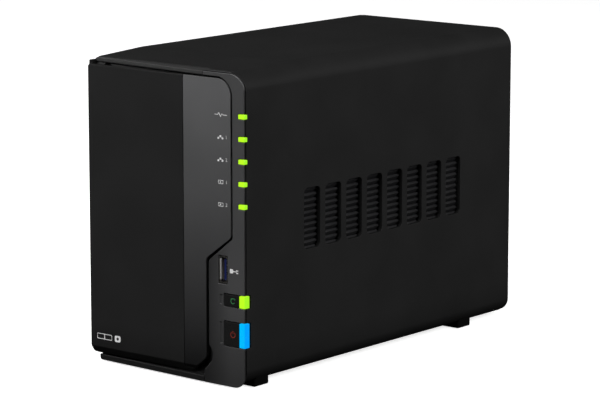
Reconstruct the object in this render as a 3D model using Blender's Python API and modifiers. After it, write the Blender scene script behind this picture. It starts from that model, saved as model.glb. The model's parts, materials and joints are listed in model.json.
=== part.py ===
"""A two-bay desktop network storage enclosure, as separate solids.

Lengths in this file are millimetres and are turned into metres by MM where a mesh is made.
+Z is up, the front faces -Y, +X is to the right as seen from the front, and the origin is
on the resting plane under the middle of the case.
"""
import math

import bmesh
import bpy
from mathutils import Matrix

MM = 0.001

# Driving dimensions
WIDTH = 108.0
HEIGHT = 165.0
DEPTH = 232.0
FOOT_HEIGHT = 2.5
WALL = 2.4
GAP = 0.3
PLUG_GAP = 0.5
TOP_RIGHT_RADIUS = 10.5
BOTTOM_RIGHT_RADIUS = 7.5
LEFT_RADIUS = 3.0

# Planes worked out from them
SIDE = WIDTH / 2
FRONT = -DEPTH / 2
REAR = DEPTH / 2
FLOOR = FOOT_HEIGHT + GAP
INSIDE = SIDE - WALL
FLANGE_SIDE = SIDE - GAP
PLUG_SIDE = INSIDE - PLUG_GAP
PLUG_BOTTOM = FLOOR + WALL + PLUG_GAP
PLUG_TOP = HEIGHT - WALL - PLUG_GAP

# Front: the bezel on the left, the control column on the right of one seam
SEAM_X = 26.25
SKIRT_BOTTOM = 0.8
SKIRT_LEFT = -50.2
SKIRT_STEP_Z = 4.2
BEZEL_FRONT = (-110.0, -112.3)
BEZEL_LIP_FRONT = (-110.4, -115.6)
BEZEL_SKIRT_FRONT = (-112.5, -115.6)
BEZEL_FLANGE_REAR = -108.7
FRONT_PLUG_REAR = -104.0
COLUMN_FRONT = FRONT + GAP
COLUMN_FLANGE_REAR = -114.7
COLUMN_RECESS = -112.3
COLUMN_BAND_REAR = -111.0
COLUMN_WALL = 1.8
COLUMN_LEFT = SEAM_X + GAP / 2
COLUMN_STAGGER = 0.05
COLUMN_WAIST_CLEARANCE = 1.6
SCOOP_RIGHT = 32.2
BAND_END_X = 43.0
ROOF_FALL_START_Y = -75.0
ROOF_FALL_END_Y = -110.0
ROOF_FALL = 1.8

# Pull-off front cover
COVER_LEFT = -53.5
COVER_TOP = 159.7
COVER_BOTTOM = 4.9
COVER_LUG_RISE = 2.2
COVER_LUG_REAR = -111.2
COVER_RIGHT = 44.75
COVER_WAIST_X = 27.9
COVER_STEP_TOP = 78.6
COVER_STEP_BOTTOM = 66.2
COVER_CORNER_RADIUS = 9.0
COVER_CHAMFER_X = 16.8
COVER_CHAMFER_Z = 14.0
COVER_BACK_GAP = 0.4
COVER_SHELL = 2.6
COVER_CLEARANCE = 0.9
TRIM_LEFT = 12.75
TRIM_DEPTH = 1.0
POST_RADIUS = 1.9
POST_PLACES = [(-44.0, 156.6), (16.0, 156.6), (-44.0, 9.6), (16.0, 9.6)]

# Control column fittings
LENS_HEIGHTS = [141.4, 129.9, 118.4, 106.9, 95.3]
LENS_HALF_HEIGHT = 1.1
LENS_LEFT = 50.0
LENS_SIDE_END = -113.6
POWER_Z = (22.3, 34.9)
COPY_Z = (43.0, 49.2)
BUTTON_X = (40.0, 50.0)
LIGHT_BAR_LEFT = 50.3
LIGHT_BAR_SIDE_END = -112.3
CAP_DEPTH = 3.6
BUTTON_ROOM_END = -111.1
USB_X = (36.5, 41.9)
USB_Z = (54.5, 68.5)
USB_WALL = 0.5
BOARD_FRONT = -100.6
BOARD_THICKNESS = 1.6

# Drive bays
BAY_CENTRES = [-31.5, 4.5]
TRAY_HALF_WIDTH = 16.4
TRAY_FRONT = -104.4
TRAY_PLATE_REAR = -101.0
TRAY_REAR = 46.0
TRAY_ARM = 6.2
DRIVE_BOTTOM = 30.5
DRIVE_TOP = 133.1
HANDLE_AXIS_Y = -106.45
HANDLE_AXIS_Z = 143.0
HANDLE_HALF_THICKNESS = 1.75
HANDLE_BOTTOM = 50.0
RELEASE_Z = (19.0, 29.0)
RELEASE_REAR = -100.4
AIR_SLOT_Y = (-86.0, 38.0)
AIR_SLOT_HEIGHT = 18.0
AIR_SLOT_BOTTOMS = [44.0, 72.0, 100.0]
CAGE_LEFT = -49.35
CAGE_RIGHT = 23.3
CAGE_SHEET = 1.1
CAGE_FRONT = -98.0
CAGE_REAR = 50.0
CAGE_FLOOR = 20.8
CAGE_CEILING = 143.2

# Side vents
VENT_COUNT = 8
VENT_PITCH = 17.6
VENT_WINDOW = (13.2, 32.0)
VENT_CENTRE_Z = 82.5
VENT_SLAT_PITCH = 3.1
VENT_SLAT_ROWS = 11
VENT_SLOT_HALF_HEIGHT = 0.85

# Rear: fan above, ports below
FAN_SIZE = 92.0
FAN_Z = 108.0
FAN_FRONT = 88.0
FAN_REAR = 113.0
FAN_BORE = 43.5
FAN_HOLE_PITCH = 82.5
FAN_HUB = 18.0
FAN_BLADES = 7
PANEL_FRONT = 113.3
PANEL_RIM_FRONT = 109.0
PORT_REAR = 115.7
IO_BOARD_TOP = 10.8
LAN_CENTRES = [-8.0, 11.0]
LAN_SIZE = (16.0, 13.4)

LOOKS = {
    "black_plastic": ((0.015, 0.015, 0.015), 0.55, 0.0),
    "grey_plastic": ((0.05, 0.05, 0.05), 0.35, 0.0),
    "steel": ((0.55, 0.56, 0.58), 0.4, 1.0),
    "nickel": ((0.7, 0.68, 0.62), 0.25, 1.0),
    "rubber": ((0.02, 0.02, 0.02), 0.8, 0.0),
    "green_lens": ((0.42, 0.9, 0.02), 0.3, 0.0),
    "blue_lens": ((0.02, 0.35, 1.0), 0.3, 0.0),
    "blue_plastic": ((0.05, 0.09, 0.4), 0.4, 0.0),
    "circuit_board": ((0.02, 0.12, 0.05), 0.5, 0.0),
    "aluminium": ((0.6, 0.6, 0.62), 0.35, 1.0),
}


def clear_scene():
    for item in list(bpy.data.objects):
        bpy.data.objects.remove(item, do_unlink=True)


def make_collection(name):
    group = bpy.data.collections.new(name)
    bpy.context.scene.collection.children.link(group)
    return group


def make_looks():
    looks = {}
    for name, (colour, roughness, metallic) in LOOKS.items():
        look = bpy.data.materials.new(name)
        look.use_nodes = True
        shader = look.node_tree.nodes["Principled BSDF"]
        shader.inputs["Base Color"].default_value = (*colour, 1.0)
        shader.inputs["Roughness"].default_value = roughness
        shader.inputs["Metallic"].default_value = metallic
        looks[name] = look
    return looks


clear_scene()
PARTS = make_collection("nas_enclosure")
TOOLS = make_collection("cutters")
MATERIALS = make_looks()


# Solids. A solid with a look is a part; one without is a cutter or a joining piece.

def place(name, mesh, look):
    solid = bpy.data.objects.new(name, mesh)
    if look is None:
        TOOLS.objects.link(solid)
        solid.hide_render = True
        solid.display_type = "WIRE"
    else:
        PARTS.objects.link(solid)
        mesh.materials.append(MATERIALS[look])
    return solid


def add_box(bm, x, y, z):
    size = (x[1] - x[0], y[1] - y[0], z[1] - z[0])
    middle = (sum(x) / 2, sum(y) / 2, sum(z) / 2)
    shape = Matrix.Translation(middle) @ Matrix.Diagonal((*size, 1.0))
    bmesh.ops.create_cube(bm, size=1.0, matrix=Matrix.Scale(MM, 4) @ shape)


def finish_mesh(name, bm):
    bmesh.ops.recalc_face_normals(bm, faces=bm.faces)
    mesh = bpy.data.meshes.new(name)
    bm.to_mesh(mesh)
    bm.free()
    return mesh


def boxes(name, ranges, look=None):
    """Boxes in one mesh, each given as its (low, high) on x, y and z."""
    bm = bmesh.new()
    for x, y, z in ranges:
        add_box(bm, x, y, z)
    return place(name, finish_mesh(name, bm), look)


def box(name, x, y, z, look=None):
    return boxes(name, [(x, y, z)], look)


AXIS_TURNS = {
    "X": Matrix.Rotation(math.pi / 2, 4, "Y"),
    "Y": Matrix.Rotation(math.pi / 2, 4, "X"),
    "Z": Matrix.Identity(4),
}


def rods(name, axis, centres, radius, low, high, sides, look=None):
    """Round bars along one axis. A centre gives the other two coordinates in x, y, z order."""
    bm = bmesh.new()
    for first, second in centres:
        middle = (low + high) / 2
        spot = {"X": (middle, first, second), "Y": (first, middle, second),
                "Z": (first, second, middle)}[axis]
        shape = Matrix.Translation(spot) @ AXIS_TURNS[axis]
        bmesh.ops.create_cone(bm, cap_ends=True, segments=sides, radius1=radius, radius2=radius,
                              depth=high - low, matrix=Matrix.Scale(MM, 4) @ shape)
    return place(name, finish_mesh(name, bm), look)


def rounded(corners, arc_step=18.0):
    """Outline through (a, b, radius) corners, with an arc at each corner that has a radius."""
    outline = []
    for index, (a, b, radius) in enumerate(corners):
        before = corners[index - 1]
        after = corners[(index + 1) % len(corners)]
        if radius <= 0.0:
            outline.append((a, b))
            continue
        back = math.atan2(before[1] - b, before[0] - a)
        ahead = math.atan2(after[1] - b, after[0] - a)
        opening = (ahead - back) % math.tau
        bend = -1.0 if opening > math.pi else 1.0
        half = (math.tau - opening if opening > math.pi else opening) / 2
        reach = radius / math.sin(half)
        middle = back + bend * half
        centre = (a + reach * math.cos(middle), b + reach * math.sin(middle))
        sweep = math.pi - 2 * half
        steps = max(1, round(math.degrees(sweep) / arc_step))
        start = back - bend * math.pi / 2
        for step in range(steps + 1):
            angle = start - bend * (sweep * step / steps)
            outline.append((centre[0] + radius * math.cos(angle),
                            centre[1] + radius * math.sin(angle)))
    return outline


def ring(centre, radius, sides):
    return [(centre[0] + radius * math.cos(math.tau * step / sides),
             centre[1] + radius * math.sin(math.tau * step / sides)) for step in range(sides)]


def rectangle(a, b, radius=0.0):
    return rounded([(a[0], b[0], radius), (a[1], b[0], radius),
                    (a[1], b[1], radius), (a[0], b[1], radius)])


OUTLINE_TURNS = {
    "X": Matrix.Rotation(math.pi / 2, 4, "Z") @ Matrix.Rotation(math.pi / 2, 4, "X"),
    "Y": Matrix.Rotation(math.pi / 2, 4, "X"),
    "Z": Matrix.Identity(4),
}


def prism(name, loops, axis, low, high, look=None):
    """Flat outline with its holes, run along an axis from low to high."""
    curve = bpy.data.curves.new(name, "CURVE")
    curve.dimensions = "2D"
    curve.fill_mode = "BOTH"
    curve.extrude = (high - low) / 2 * MM
    for loop in loops:
        spline = curve.splines.new("POLY")
        spline.points.add(len(loop) - 1)
        for point, (a, b) in zip(spline.points, loop):
            point.co = (a * MM, b * MM, 0.0, 1.0)
        spline.use_cyclic_u = True
    guide = bpy.data.objects.new(name + "_outline", curve)
    TOOLS.objects.link(guide)
    bpy.context.view_layer.update()
    evaluated = guide.evaluated_get(bpy.context.evaluated_depsgraph_get())
    mesh = bpy.data.meshes.new_from_object(evaluated)
    bpy.data.objects.remove(guide, do_unlink=True)
    along = {"X": (1, 0, 0), "Y": (0, 1, 0), "Z": (0, 0, 1)}[axis]
    shift = Matrix.Translation([part * (low + high) / 2 * MM for part in along])
    mesh.transform(shift @ OUTLINE_TURNS[axis])
    bm = bmesh.new()
    bm.from_mesh(mesh)
    bmesh.ops.remove_doubles(bm, verts=bm.verts, dist=1e-6)
    bpy.data.meshes.remove(mesh)
    return place(name, finish_mesh(name, bm), look)


def combine(target, operation, tools):
    for tool in tools:
        step = target.modifiers.new(tool.name, "BOOLEAN")
        step.operation = operation
        step.solver = "EXACT"
        step.object = tool
    return target


def cut(target, *tools):
    return combine(target, "DIFFERENCE", tools)


def join(target, *tools):
    return combine(target, "UNION", tools)


def joint_frame(name, spot):
    """Empty on a joint's axis, which its moving pieces hang from."""
    empty = bpy.data.objects.new(name, None)
    empty.location = [value * MM for value in spot]
    PARTS.objects.link(empty)
    bpy.context.view_layer.update()
    return empty


def hang(frame, *solids):
    for solid in solids:
        solid.parent = frame
        solid.matrix_parent_inverse = frame.matrix_world.inverted()


# Outlines that several parts share

def body_corners(inset):
    side = SIDE - inset
    bottom = FLOOR + inset
    top = HEIGHT - inset
    left = max(LEFT_RADIUS - inset, 0.6)
    return [(-side, bottom, left), (side, bottom, BOTTOM_RIGHT_RADIUS - inset),
            (side, top, TOP_RIGHT_RADIUS - inset), (-side, top, left)]


def lower_front(solid):
    """Lets the top of a solid fall gently over its last stretch to the front."""
    bm = bmesh.new()
    bm.from_mesh(solid.data)
    start = ROOF_FALL_START_Y * MM
    base = (HEIGHT - TOP_RIGHT_RADIUS) * MM
    run = (ROOF_FALL_START_Y - ROOF_FALL_END_Y) * MM
    rate = ROOF_FALL / (TOP_RIGHT_RADIUS * run)
    bmesh.ops.bisect_plane(bm, geom=bm.verts[:] + bm.edges[:] + bm.faces[:],
                           plane_co=(0.0, start, 0.0), plane_no=(0.0, 1.0, 0.0))
    for vert in bm.verts:
        ahead = max(start - vert.co.y, 0.0)
        above = max(vert.co.z - base, 0.0)
        vert.co.z -= rate * ahead * above
    bmesh.ops.connect_verts_nonplanar(bm, angle_limit=0.0001, faces=bm.faces)
    bm.to_mesh(solid.data)
    bm.free()
    return solid


def cover_corners(grow, left=COVER_LEFT):
    """Front cover seen from the front, grown outward by a clearance where that is asked."""
    right = COVER_RIGHT + grow
    waist = COVER_WAIST_X + grow
    return [(left - grow, COVER_BOTTOM - grow, 1.5),
            (COVER_CHAMFER_X, COVER_BOTTOM - grow, 2.0),
            (waist, COVER_CHAMFER_Z, 3.0),
            (waist, COVER_STEP_BOTTOM, 3.0),
            (right, COVER_STEP_TOP, 3.0),
            (right, COVER_TOP + grow, COVER_CORNER_RADIUS + grow),
            (left - grow, COVER_TOP + grow, 1.5)]


# Case

def make_outer_cover():
    shell = lower_front(prism("outer_cover", [rounded(body_corners(0.0), 15.0),
                                              rounded(body_corners(WALL), 18.0)],
                              "Y", COLUMN_FLANGE_REAR + GAP, PANEL_FRONT - GAP, "black_plastic"))
    beyond = FRONT - 2
    openings = boxes("cover_openings", [
        ((-43.9, 43.9), (beyond, REAR), (FLOOR - 1, FLOOR + WALL + 0.6)),
    ])
    set_back = boxes("cover_set_back", [
        ((-SIDE - 1, SEAM_X), (beyond, BEZEL_FLANGE_REAR + GAP), (FLOOR - 1, HEIGHT + 1)),
    ])
    band_room = box("cover_band_room", (SEAM_X - 1, BAND_END_X + GAP),
                    (beyond, COLUMN_BAND_REAR + GAP), (HEIGHT - 8, HEIGHT + 1))
    room = LENS_HALF_HEIGHT + GAP
    notches = [((INSIDE - 1, SIDE + 1), (beyond, LENS_SIDE_END + GAP), (z - room, z + room))
               for z in LENS_HEIGHTS]
    notches += [((INSIDE - 1, SIDE + 1), (beyond, BUTTON_ROOM_END), (z[0] - GAP, z[1] + GAP))
                for z in (POWER_Z, COPY_Z)]
    windows = []
    for index in range(VENT_COUNT):
        y = (index - (VENT_COUNT - 1) / 2) * VENT_PITCH
        half = VENT_WINDOW[0] / 2
        rise = VENT_WINDOW[1] / 2
        corners = [(y - half, VENT_CENTRE_Z - rise, 2.5), (y + half, VENT_CENTRE_Z - rise, 2.5),
                   (y + half, VENT_CENTRE_Z + rise, 2.5), (y - half, VENT_CENTRE_Z + rise, 2.5)]
        windows.append(rounded(corners, 45.0))
    cut(shell, openings, set_back, band_room, boxes("cover_notches", notches),
        prism("cover_windows", windows, "X", -SIDE - 1, SIDE + 1))


def make_side_vent(name, direction, thickness):
    """Slatted insert behind the windows of one side wall."""
    outer = INSIDE - GAP
    x = sorted((direction * outer, direction * (outer - thickness)))
    half_run = VENT_COUNT * VENT_PITCH / 2 + 2
    rise = VENT_WINDOW[1] / 2 + 4
    plate = box(name, x, (-half_run, half_run), (VENT_CENTRE_Z - rise, VENT_CENTRE_Z + rise),
                "black_plastic")
    slots = []
    for row in range(VENT_SLAT_ROWS):
        z = VENT_CENTRE_Z + (row - (VENT_SLAT_ROWS - 1) / 2) * VENT_SLAT_PITCH
        for side in (-1, 1):
            y = sorted((side * 2.5, side * (half_run - 4)))
            slots.append(((x[0] - 1, x[1] + 1), y,
                          (z - VENT_SLOT_HALF_HEIGHT, z + VENT_SLOT_HALF_HEIGHT)))
    cut(plate, boxes(name + "_slots", slots))


def make_base_pan():
    pan = box("base_pan", (-43.6, 43.6), (FRONT_PLUG_REAR + 0.4, PANEL_FRONT - GAP - 0.1),
              (FLOOR, FLOOR + 2.2), "steel")
    rims = boxes("base_pan_rims", [((side * 42.85 - 0.75, side * 42.85 + 0.75),
                                    (FRONT_PLUG_REAR + 0.4, PANEL_RIM_FRONT - 0.4),
                                    (FLOOR + 1, FLOOR + 4.7)) for side in (-1, 1)])
    slots = []
    for row in range(6):
        y = -60 + row * 20.0
        for x in (-22.0, 6.0):
            slots.append(((x - 9, x + 9), (y - 2, y + 2), (FLOOR - 1, FLOOR + 3)))
    cut(join(pan, rims), boxes("base_pan_slots", slots))


def make_foot(name, x, y):
    """Foot whose top follows the curve under the case side."""
    foot = box(name, x, y, (0.0, FOOT_HEIGHT + 2.6), "rubber")
    edge = foot.modifiers.new("lower_edge", "BEVEL")
    edge.width = 0.6 * MM
    edge.segments = 1
    case = prism(name + "_seat", [rounded(body_corners(-GAP))], "Y", y[0] - 1, y[1] + 1)
    cut(foot, case)


def make_feet():
    spots = [((36.0, 52.0), (-106.0, -94.5)), ((36.0, 52.0), (70.5, 82.0)),
             ((-52.0, -36.0), (-106.0, -94.5)), ((-52.0, -36.0), (70.5, 82.0))]
    for number, (x, y) in enumerate(spots, 1):
        make_foot(f"foot_{number}", x, y)


# Front

def slanted(ends, x):
    """Distance back of a face that comes forward evenly from the left side to the seam."""
    share = (x + FLANGE_SIDE) / (SEAM_X + FLANGE_SIDE)
    return ends[0] + (ends[1] - ends[0]) * share


def slanted_cutter(name, ends, z):
    """Everything in front of a slanted face, between two heights."""
    left = -SIDE - 4
    right = SEAM_X + 4
    outline = [(left, FRONT - 1), (right, FRONT - 1), (right, slanted(ends, right)),
               (left, slanted(ends, left))]
    return prism(name, [outline], "Z", *z)


def make_front_bezel():
    """Frame round the bays: lips above and below come further forward than the face between."""
    right = SEAM_X - GAP / 2
    flange = [(SKIRT_LEFT, SKIRT_BOTTOM, 1.5), (right, SKIRT_BOTTOM, 0), (right, HEIGHT - GAP, 0),
              (-FLANGE_SIDE, HEIGHT - GAP, LEFT_RADIUS), (-FLANGE_SIDE, SKIRT_STEP_Z, 1.5),
              (SKIRT_LEFT, SKIRT_STEP_Z, 0)]
    plug = [(-PLUG_SIDE, PLUG_BOTTOM, 1.0), (right, PLUG_BOTTOM, 0),
            (right, PLUG_TOP, 0), (-PLUG_SIDE, PLUG_TOP, 1.0)]
    bezel = lower_front(prism("front_bezel", [rounded(flange)], "Y", BEZEL_LIP_FRONT[1] - 0.3,
                              BEZEL_FLANGE_REAR, "black_plastic"))
    join(bezel, lower_front(prism("bezel_plug", [rounded(plug)], "Y", BEZEL_FLANGE_REAR - 0.5,
                                  FRONT_PLUG_REAR)))
    bays = prism("bezel_bay_opening", [rectangle((-49.6, 22.4), (14.6, 151.4), 2.0)], "Y",
                 FRONT, FRONT_PLUG_REAR + 1)
    holes = rods("bezel_grommet_holes", "Y", POST_PLACES, 3.6, FRONT, FRONT_PLUG_REAR + 1, 12)
    behind_cover = (COVER_BOTTOM - COVER_CLEARANCE, COVER_TOP + COVER_CLEARANCE)
    cut(bezel, slanted_cutter("bezel_lip_face", BEZEL_LIP_FRONT, (HEIGHT - 9, HEIGHT + 4)),
        slanted_cutter("bezel_skirt_face", BEZEL_SKIRT_FRONT, (0.0, 9.0)),
        slanted_cutter("bezel_face", BEZEL_FRONT, behind_cover), bays, holes)


def make_grommets():
    for number, spot in enumerate(POST_PLACES, 1):
        prism(f"cover_grommet_{number}", [ring(spot, 3.3, 12), ring(spot, POST_RADIUS + GAP, 12)],
              "Y", -109.6, -105.0, "rubber")


def column_corners(inset, bottom):
    right = FLANGE_SIDE - inset
    top = HEIGHT - GAP - inset
    left = COLUMN_LEFT + inset * COLUMN_STAGGER
    return [(left, bottom, 0), (right, bottom, BOTTOM_RIGHT_RADIUS - GAP - inset),
            (right, top, TOP_RIGHT_RADIUS - GAP - inset), (left, top, 0)]


def cover_room():
    """Space left of the column's raised face, with a finger scoop low down."""
    left = SEAM_X - 5
    waist = COVER_WAIST_X + COLUMN_WAIST_CLEARANCE
    right = COVER_RIGHT + COVER_CLEARANCE
    top = COVER_TOP + COVER_CLEARANCE
    outline = rounded([(left, 1.8, 0), (31.5, 13.0, 3.0), (SCOOP_RIGHT, 17.6, 2.0),
                       (waist, 21.0, 2.0), (waist, COVER_STEP_BOTTOM - 1.0, 3.0),
                       (right, COVER_STEP_TOP - 0.5, 3.0),
                       (right, top, COVER_CORNER_RADIUS + COVER_CLEARANCE), (left, top, 0)])
    return prism("column_cover_room", [outline], "Y", FRONT - 1, COLUMN_RECESS)


def make_control_column():
    inset = FLANGE_SIDE - PLUG_SIDE - 0.1
    column = lower_front(prism("control_column", [rounded(column_corners(0.0, SKIRT_BOTTOM))], "Y",
                               COLUMN_FRONT, COLUMN_FLANGE_REAR, "grey_plastic"))
    raised = lower_front(prism("column_raised", [rounded(column_corners(inset, PLUG_BOTTOM + 0.1))],
                               "Y", COLUMN_FLANGE_REAR - 0.4, COLUMN_RECESS + 0.4))
    core = lower_front(prism("column_core", [rounded([
        (COLUMN_LEFT, PLUG_BOTTOM, 0),
        (PLUG_SIDE - 0.1, PLUG_BOTTOM, BOTTOM_RIGHT_RADIUS - WALL - PLUG_GAP),
        (PLUG_SIDE - 0.1, PLUG_TOP, TOP_RIGHT_RADIUS - WALL - PLUG_GAP),
        (COLUMN_LEFT, PLUG_TOP, 0)])], "Y", COLUMN_RECESS - 0.7, FRONT_PLUG_REAR))
    band = lower_front(box("column_band", (COLUMN_LEFT + 0.1, BAND_END_X),
                           (COLUMN_FRONT + 0.1, COLUMN_BAND_REAR), (156.0, HEIGHT - GAP - 0.1)))
    join(column, raised, core, band)

    inner = PLUG_SIDE - COLUMN_WALL
    bottom = PLUG_BOTTOM + COLUMN_WALL
    top = PLUG_TOP - COLUMN_WALL - ROOF_FALL
    step = COVER_RIGHT + COVER_CLEARANCE + COLUMN_WALL
    waist = COVER_WAIST_X + COLUMN_WAIST_CLEARANCE + COLUMN_WALL
    scoop = SCOOP_RIGHT + COLUMN_WALL
    front_room = prism("column_front_room", [rounded([
        (scoop, bottom + 0.2, 0), (inner - 0.2, bottom + 0.2, 3.0), (inner - 0.2, top - 0.2, 1.5),
        (step, top - 0.2, 0), (step, COVER_STEP_TOP - 1.5, 2.0),
        (waist, COVER_STEP_BOTTOM - 2.0, 2.0), (waist, 24.0, 0), (scoop, 22.0, 0)])],
        "Y", COLUMN_FRONT + COLUMN_WALL, FRONT_PLUG_REAR - 1)
    rear_room = prism("column_rear_room",
                      [rectangle((COLUMN_LEFT + COLUMN_WALL, inner), (bottom, top), 4.0)],
                      "Y", COLUMN_RECESS + COLUMN_WALL, FRONT_PLUG_REAR + 1)
    cut(column, cover_room(), front_room, rear_room, column_openings())


def column_openings():
    room = LENS_HALF_HEIGHT + GAP
    cuts = [((LENS_LEFT - GAP, SIDE + 1), (FRONT - 1, FRONT_PLUG_REAR + 1), (z - room, z + room))
            for z in LENS_HEIGHTS]
    cuts += [((BUTTON_X[0] - GAP, SIDE + 1), (FRONT - 1, BUTTON_ROOM_END), (z[0] - GAP, z[1] + GAP))
             for z in (POWER_Z, COPY_Z)]
    cuts.append(((USB_X[0] - GAP, USB_X[1] + GAP), (FRONT - 1, FRONT_PLUG_REAR + 1),
                 (USB_Z[0] - GAP, USB_Z[1] + GAP)))
    return boxes("column_openings", cuts)


def wrapped_outline(left, side_end, skin):
    """Corner piece seen from above: a front leg and a side leg around the case's edge."""
    return [(left, FRONT), (SIDE, FRONT), (SIDE, side_end), (SIDE - skin, side_end),
            (SIDE - skin, FRONT + skin + 0.2), (left, FRONT + skin + 0.2)]


def make_indicator_lenses():
    for number, z in enumerate(LENS_HEIGHTS, 1):
        low = z - LENS_HALF_HEIGHT
        high = z + LENS_HALF_HEIGHT
        lens = prism(f"indicator_lens_{number}", [wrapped_outline(LENS_LEFT, LENS_SIDE_END, 1.4)],
                     "Z", low, high, "green_lens")
        join(lens, box(f"lens_stem_{number}", (LENS_LEFT + 0.2, LENS_LEFT + 1.2),
                       (FRONT + 1, BOARD_FRONT - 0.8), (z - 0.8, z + 0.8)))


def make_button(name, z, look):
    """Cap with its pusher and, beside it, the light bar that wraps the corner."""
    middle = sum(z) / 2
    centre = sum(BUTTON_X) / 2
    cap = box(f"{name}_button_cap", BUTTON_X, (FRONT, FRONT + CAP_DEPTH), z, "black_plastic")
    join(cap, box(f"{name}_pusher", (centre - 2, centre + 2),
                  (FRONT + CAP_DEPTH - 0.5, BOARD_FRONT - 1.6), (middle - 1.8, middle + 1.8)))
    bar = prism(f"{name}_light_bar", [wrapped_outline(LIGHT_BAR_LEFT, LIGHT_BAR_SIDE_END, 1.7)],
                "Z", z[0], z[1], look)
    frame = joint_frame(f"{name}_button_axis", (centre, FRONT, middle))
    hang(frame, cap, bar)


def make_usb_socket(name, x, y, z, open_end, tongue_look):
    """Metal sleeve round a plastic tongue; open_end is -1 to the front and 1 to the rear."""
    shell = prism(f"{name}_shell", [rectangle(x, z), rectangle(
        (x[0] + USB_WALL, x[1] - USB_WALL), (z[0] + USB_WALL, z[1] - USB_WALL))], "Y",
        y[0], y[1], "nickel")
    clear = USB_WALL + GAP
    block_y = (y[1] - 4.0, y[1] - 0.5) if open_end < 0 else (y[0] + 0.5, y[0] + 4.0)
    tongue_y = (y[0] + 1.2, y[1] - 3.5) if open_end < 0 else (y[0] + 3.5, y[1] - 1.2)
    block = box(f"{name}_tongue", (x[0] + clear, x[1] - clear), block_y,
                (z[0] + clear, z[1] - clear), tongue_look)
    if open_end < 0:
        tongue = ((x[1] - 2.9, x[1] - 1.2), tongue_y, (z[0] + 1.6, z[1] - 1.6))
    else:
        tongue = ((x[0] + 1.6, x[1] - 1.6), tongue_y, (z[1] - 3.0, z[1] - 1.3))
    join(block, box(f"{name}_tongue_blade", *tongue))
    return shell


def make_control_board():
    board = box("control_board", (30.0, 51.0), (BOARD_FRONT, BOARD_FRONT + BOARD_THICKNESS),
                (15.0, 150.0), "circuit_board")
    centre = sum(BUTTON_X) / 2
    chips = []
    for z in (sum(POWER_Z) / 2, sum(COPY_Z) / 2):
        chips.append(((centre - 2.4, centre + 2.4), (BOARD_FRONT - 0.5, BOARD_FRONT + 0.5),
                      (z - 2.4, z + 2.4)))
    for z in LENS_HEIGHTS:
        chips.append(((LENS_LEFT - 0.6, LENS_LEFT + 0.9), (BOARD_FRONT - 0.4, BOARD_FRONT + 0.5),
                      (z - 0.8, z + 0.8)))
    join(board, boxes("control_board_chips", chips))


def make_front_cover():
    behind = BEZEL_FRONT[0] + 1
    panel = prism("front_cover_panel", [rounded(cover_corners(0.0))], "Y", FRONT, behind,
                  "black_plastic")
    left = -SIDE - 1
    right = SIDE + 1
    slant = prism("panel_slant", [[(left, slanted(BEZEL_FRONT, left) - COVER_BACK_GAP),
                                   (right, slanted(BEZEL_FRONT, right) - COVER_BACK_GAP),
                                   (right, behind + 1), (left, behind + 1)]], "Z", 0.0, HEIGHT)
    hollow = prism("panel_hollow", [rounded(cover_corners(-COVER_SHELL))], "Y", FRONT + COVER_SHELL,
                   behind + 1)
    open_top = box("panel_open_top", (COVER_LEFT + 2.2, COVER_RIGHT - COVER_CORNER_RADIUS),
                   (FRONT + COVER_SHELL, behind + 1), (COVER_TOP - COVER_SHELL - 1, COVER_TOP + 1))
    corner_lug = box("panel_corner_lug", (COVER_LEFT + 0.3, COVER_LEFT + 2.3),
                     (FRONT + 0.8, COVER_LUG_REAR), (COVER_TOP - 3, COVER_TOP + COVER_LUG_RISE))
    lower_bevel = prism("panel_lower_bevel", [[(FRONT - 1, COVER_BOTTOM - 1),
                                               (FRONT - 1, COVER_BOTTOM + 5.5),
                                               (FRONT + 3.2, COVER_BOTTOM - 1)]],
                        "X", left, right)
    trim_room = box("panel_trim_room", (TRIM_LEFT, SIDE), (FRONT - 1, FRONT + TRIM_DEPTH + GAP),
                    (0.0, HEIGHT))
    posts = rods("panel_posts", "Y", POST_PLACES, POST_RADIUS, FRONT + COVER_SHELL - 0.5, -106.0, 12)
    join(cut(panel, slant, hollow, open_top, lower_bevel, trim_room), posts, corner_lug)

    trim_corners = [(TRIM_LEFT + GAP, COVER_BOTTOM, 0)] + cover_corners(0.0)[1:-1]
    trim_corners.append((TRIM_LEFT + GAP, COVER_TOP, 0))
    trim = prism("front_cover_trim", [rounded(trim_corners)], "Y", FRONT, FRONT + TRIM_DEPTH,
                 "grey_plastic")
    cut(trim, lower_bevel)
    frame = joint_frame("front_cover_axis", (0.0, FRONT, HEIGHT / 2))
    hang(frame, panel, trim)


# Drive bays

def make_drive_cage():
    leg = FLOOR + 2.8
    outer = [(CAGE_LEFT, leg), (CAGE_LEFT + CAGE_SHEET, leg),
             (CAGE_LEFT + CAGE_SHEET, CAGE_FLOOR - CAGE_SHEET),
             (CAGE_RIGHT - CAGE_SHEET, CAGE_FLOOR - CAGE_SHEET), (CAGE_RIGHT - CAGE_SHEET, leg),
             (CAGE_RIGHT, leg), (CAGE_RIGHT, CAGE_CEILING + CAGE_SHEET),
             (CAGE_LEFT, CAGE_CEILING + CAGE_SHEET)]
    divider = sum(BAY_CENTRES) / 2
    bays = [rectangle((CAGE_LEFT + CAGE_SHEET, divider - 0.6), (CAGE_FLOOR, CAGE_CEILING)),
            rectangle((divider + 0.6, CAGE_RIGHT - CAGE_SHEET), (CAGE_FLOOR, CAGE_CEILING))]
    cage = prism("drive_cage", [outer] + bays, "Y", CAGE_FRONT, CAGE_REAR, "steel")
    slots = boxes("cage_slots", [((CAGE_LEFT - 1, CAGE_RIGHT + 1), AIR_SLOT_Y, (z, z + AIR_SLOT_HEIGHT))
                                 for z in AIR_SLOT_BOTTOMS])
    cut(cage, slots)


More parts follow.
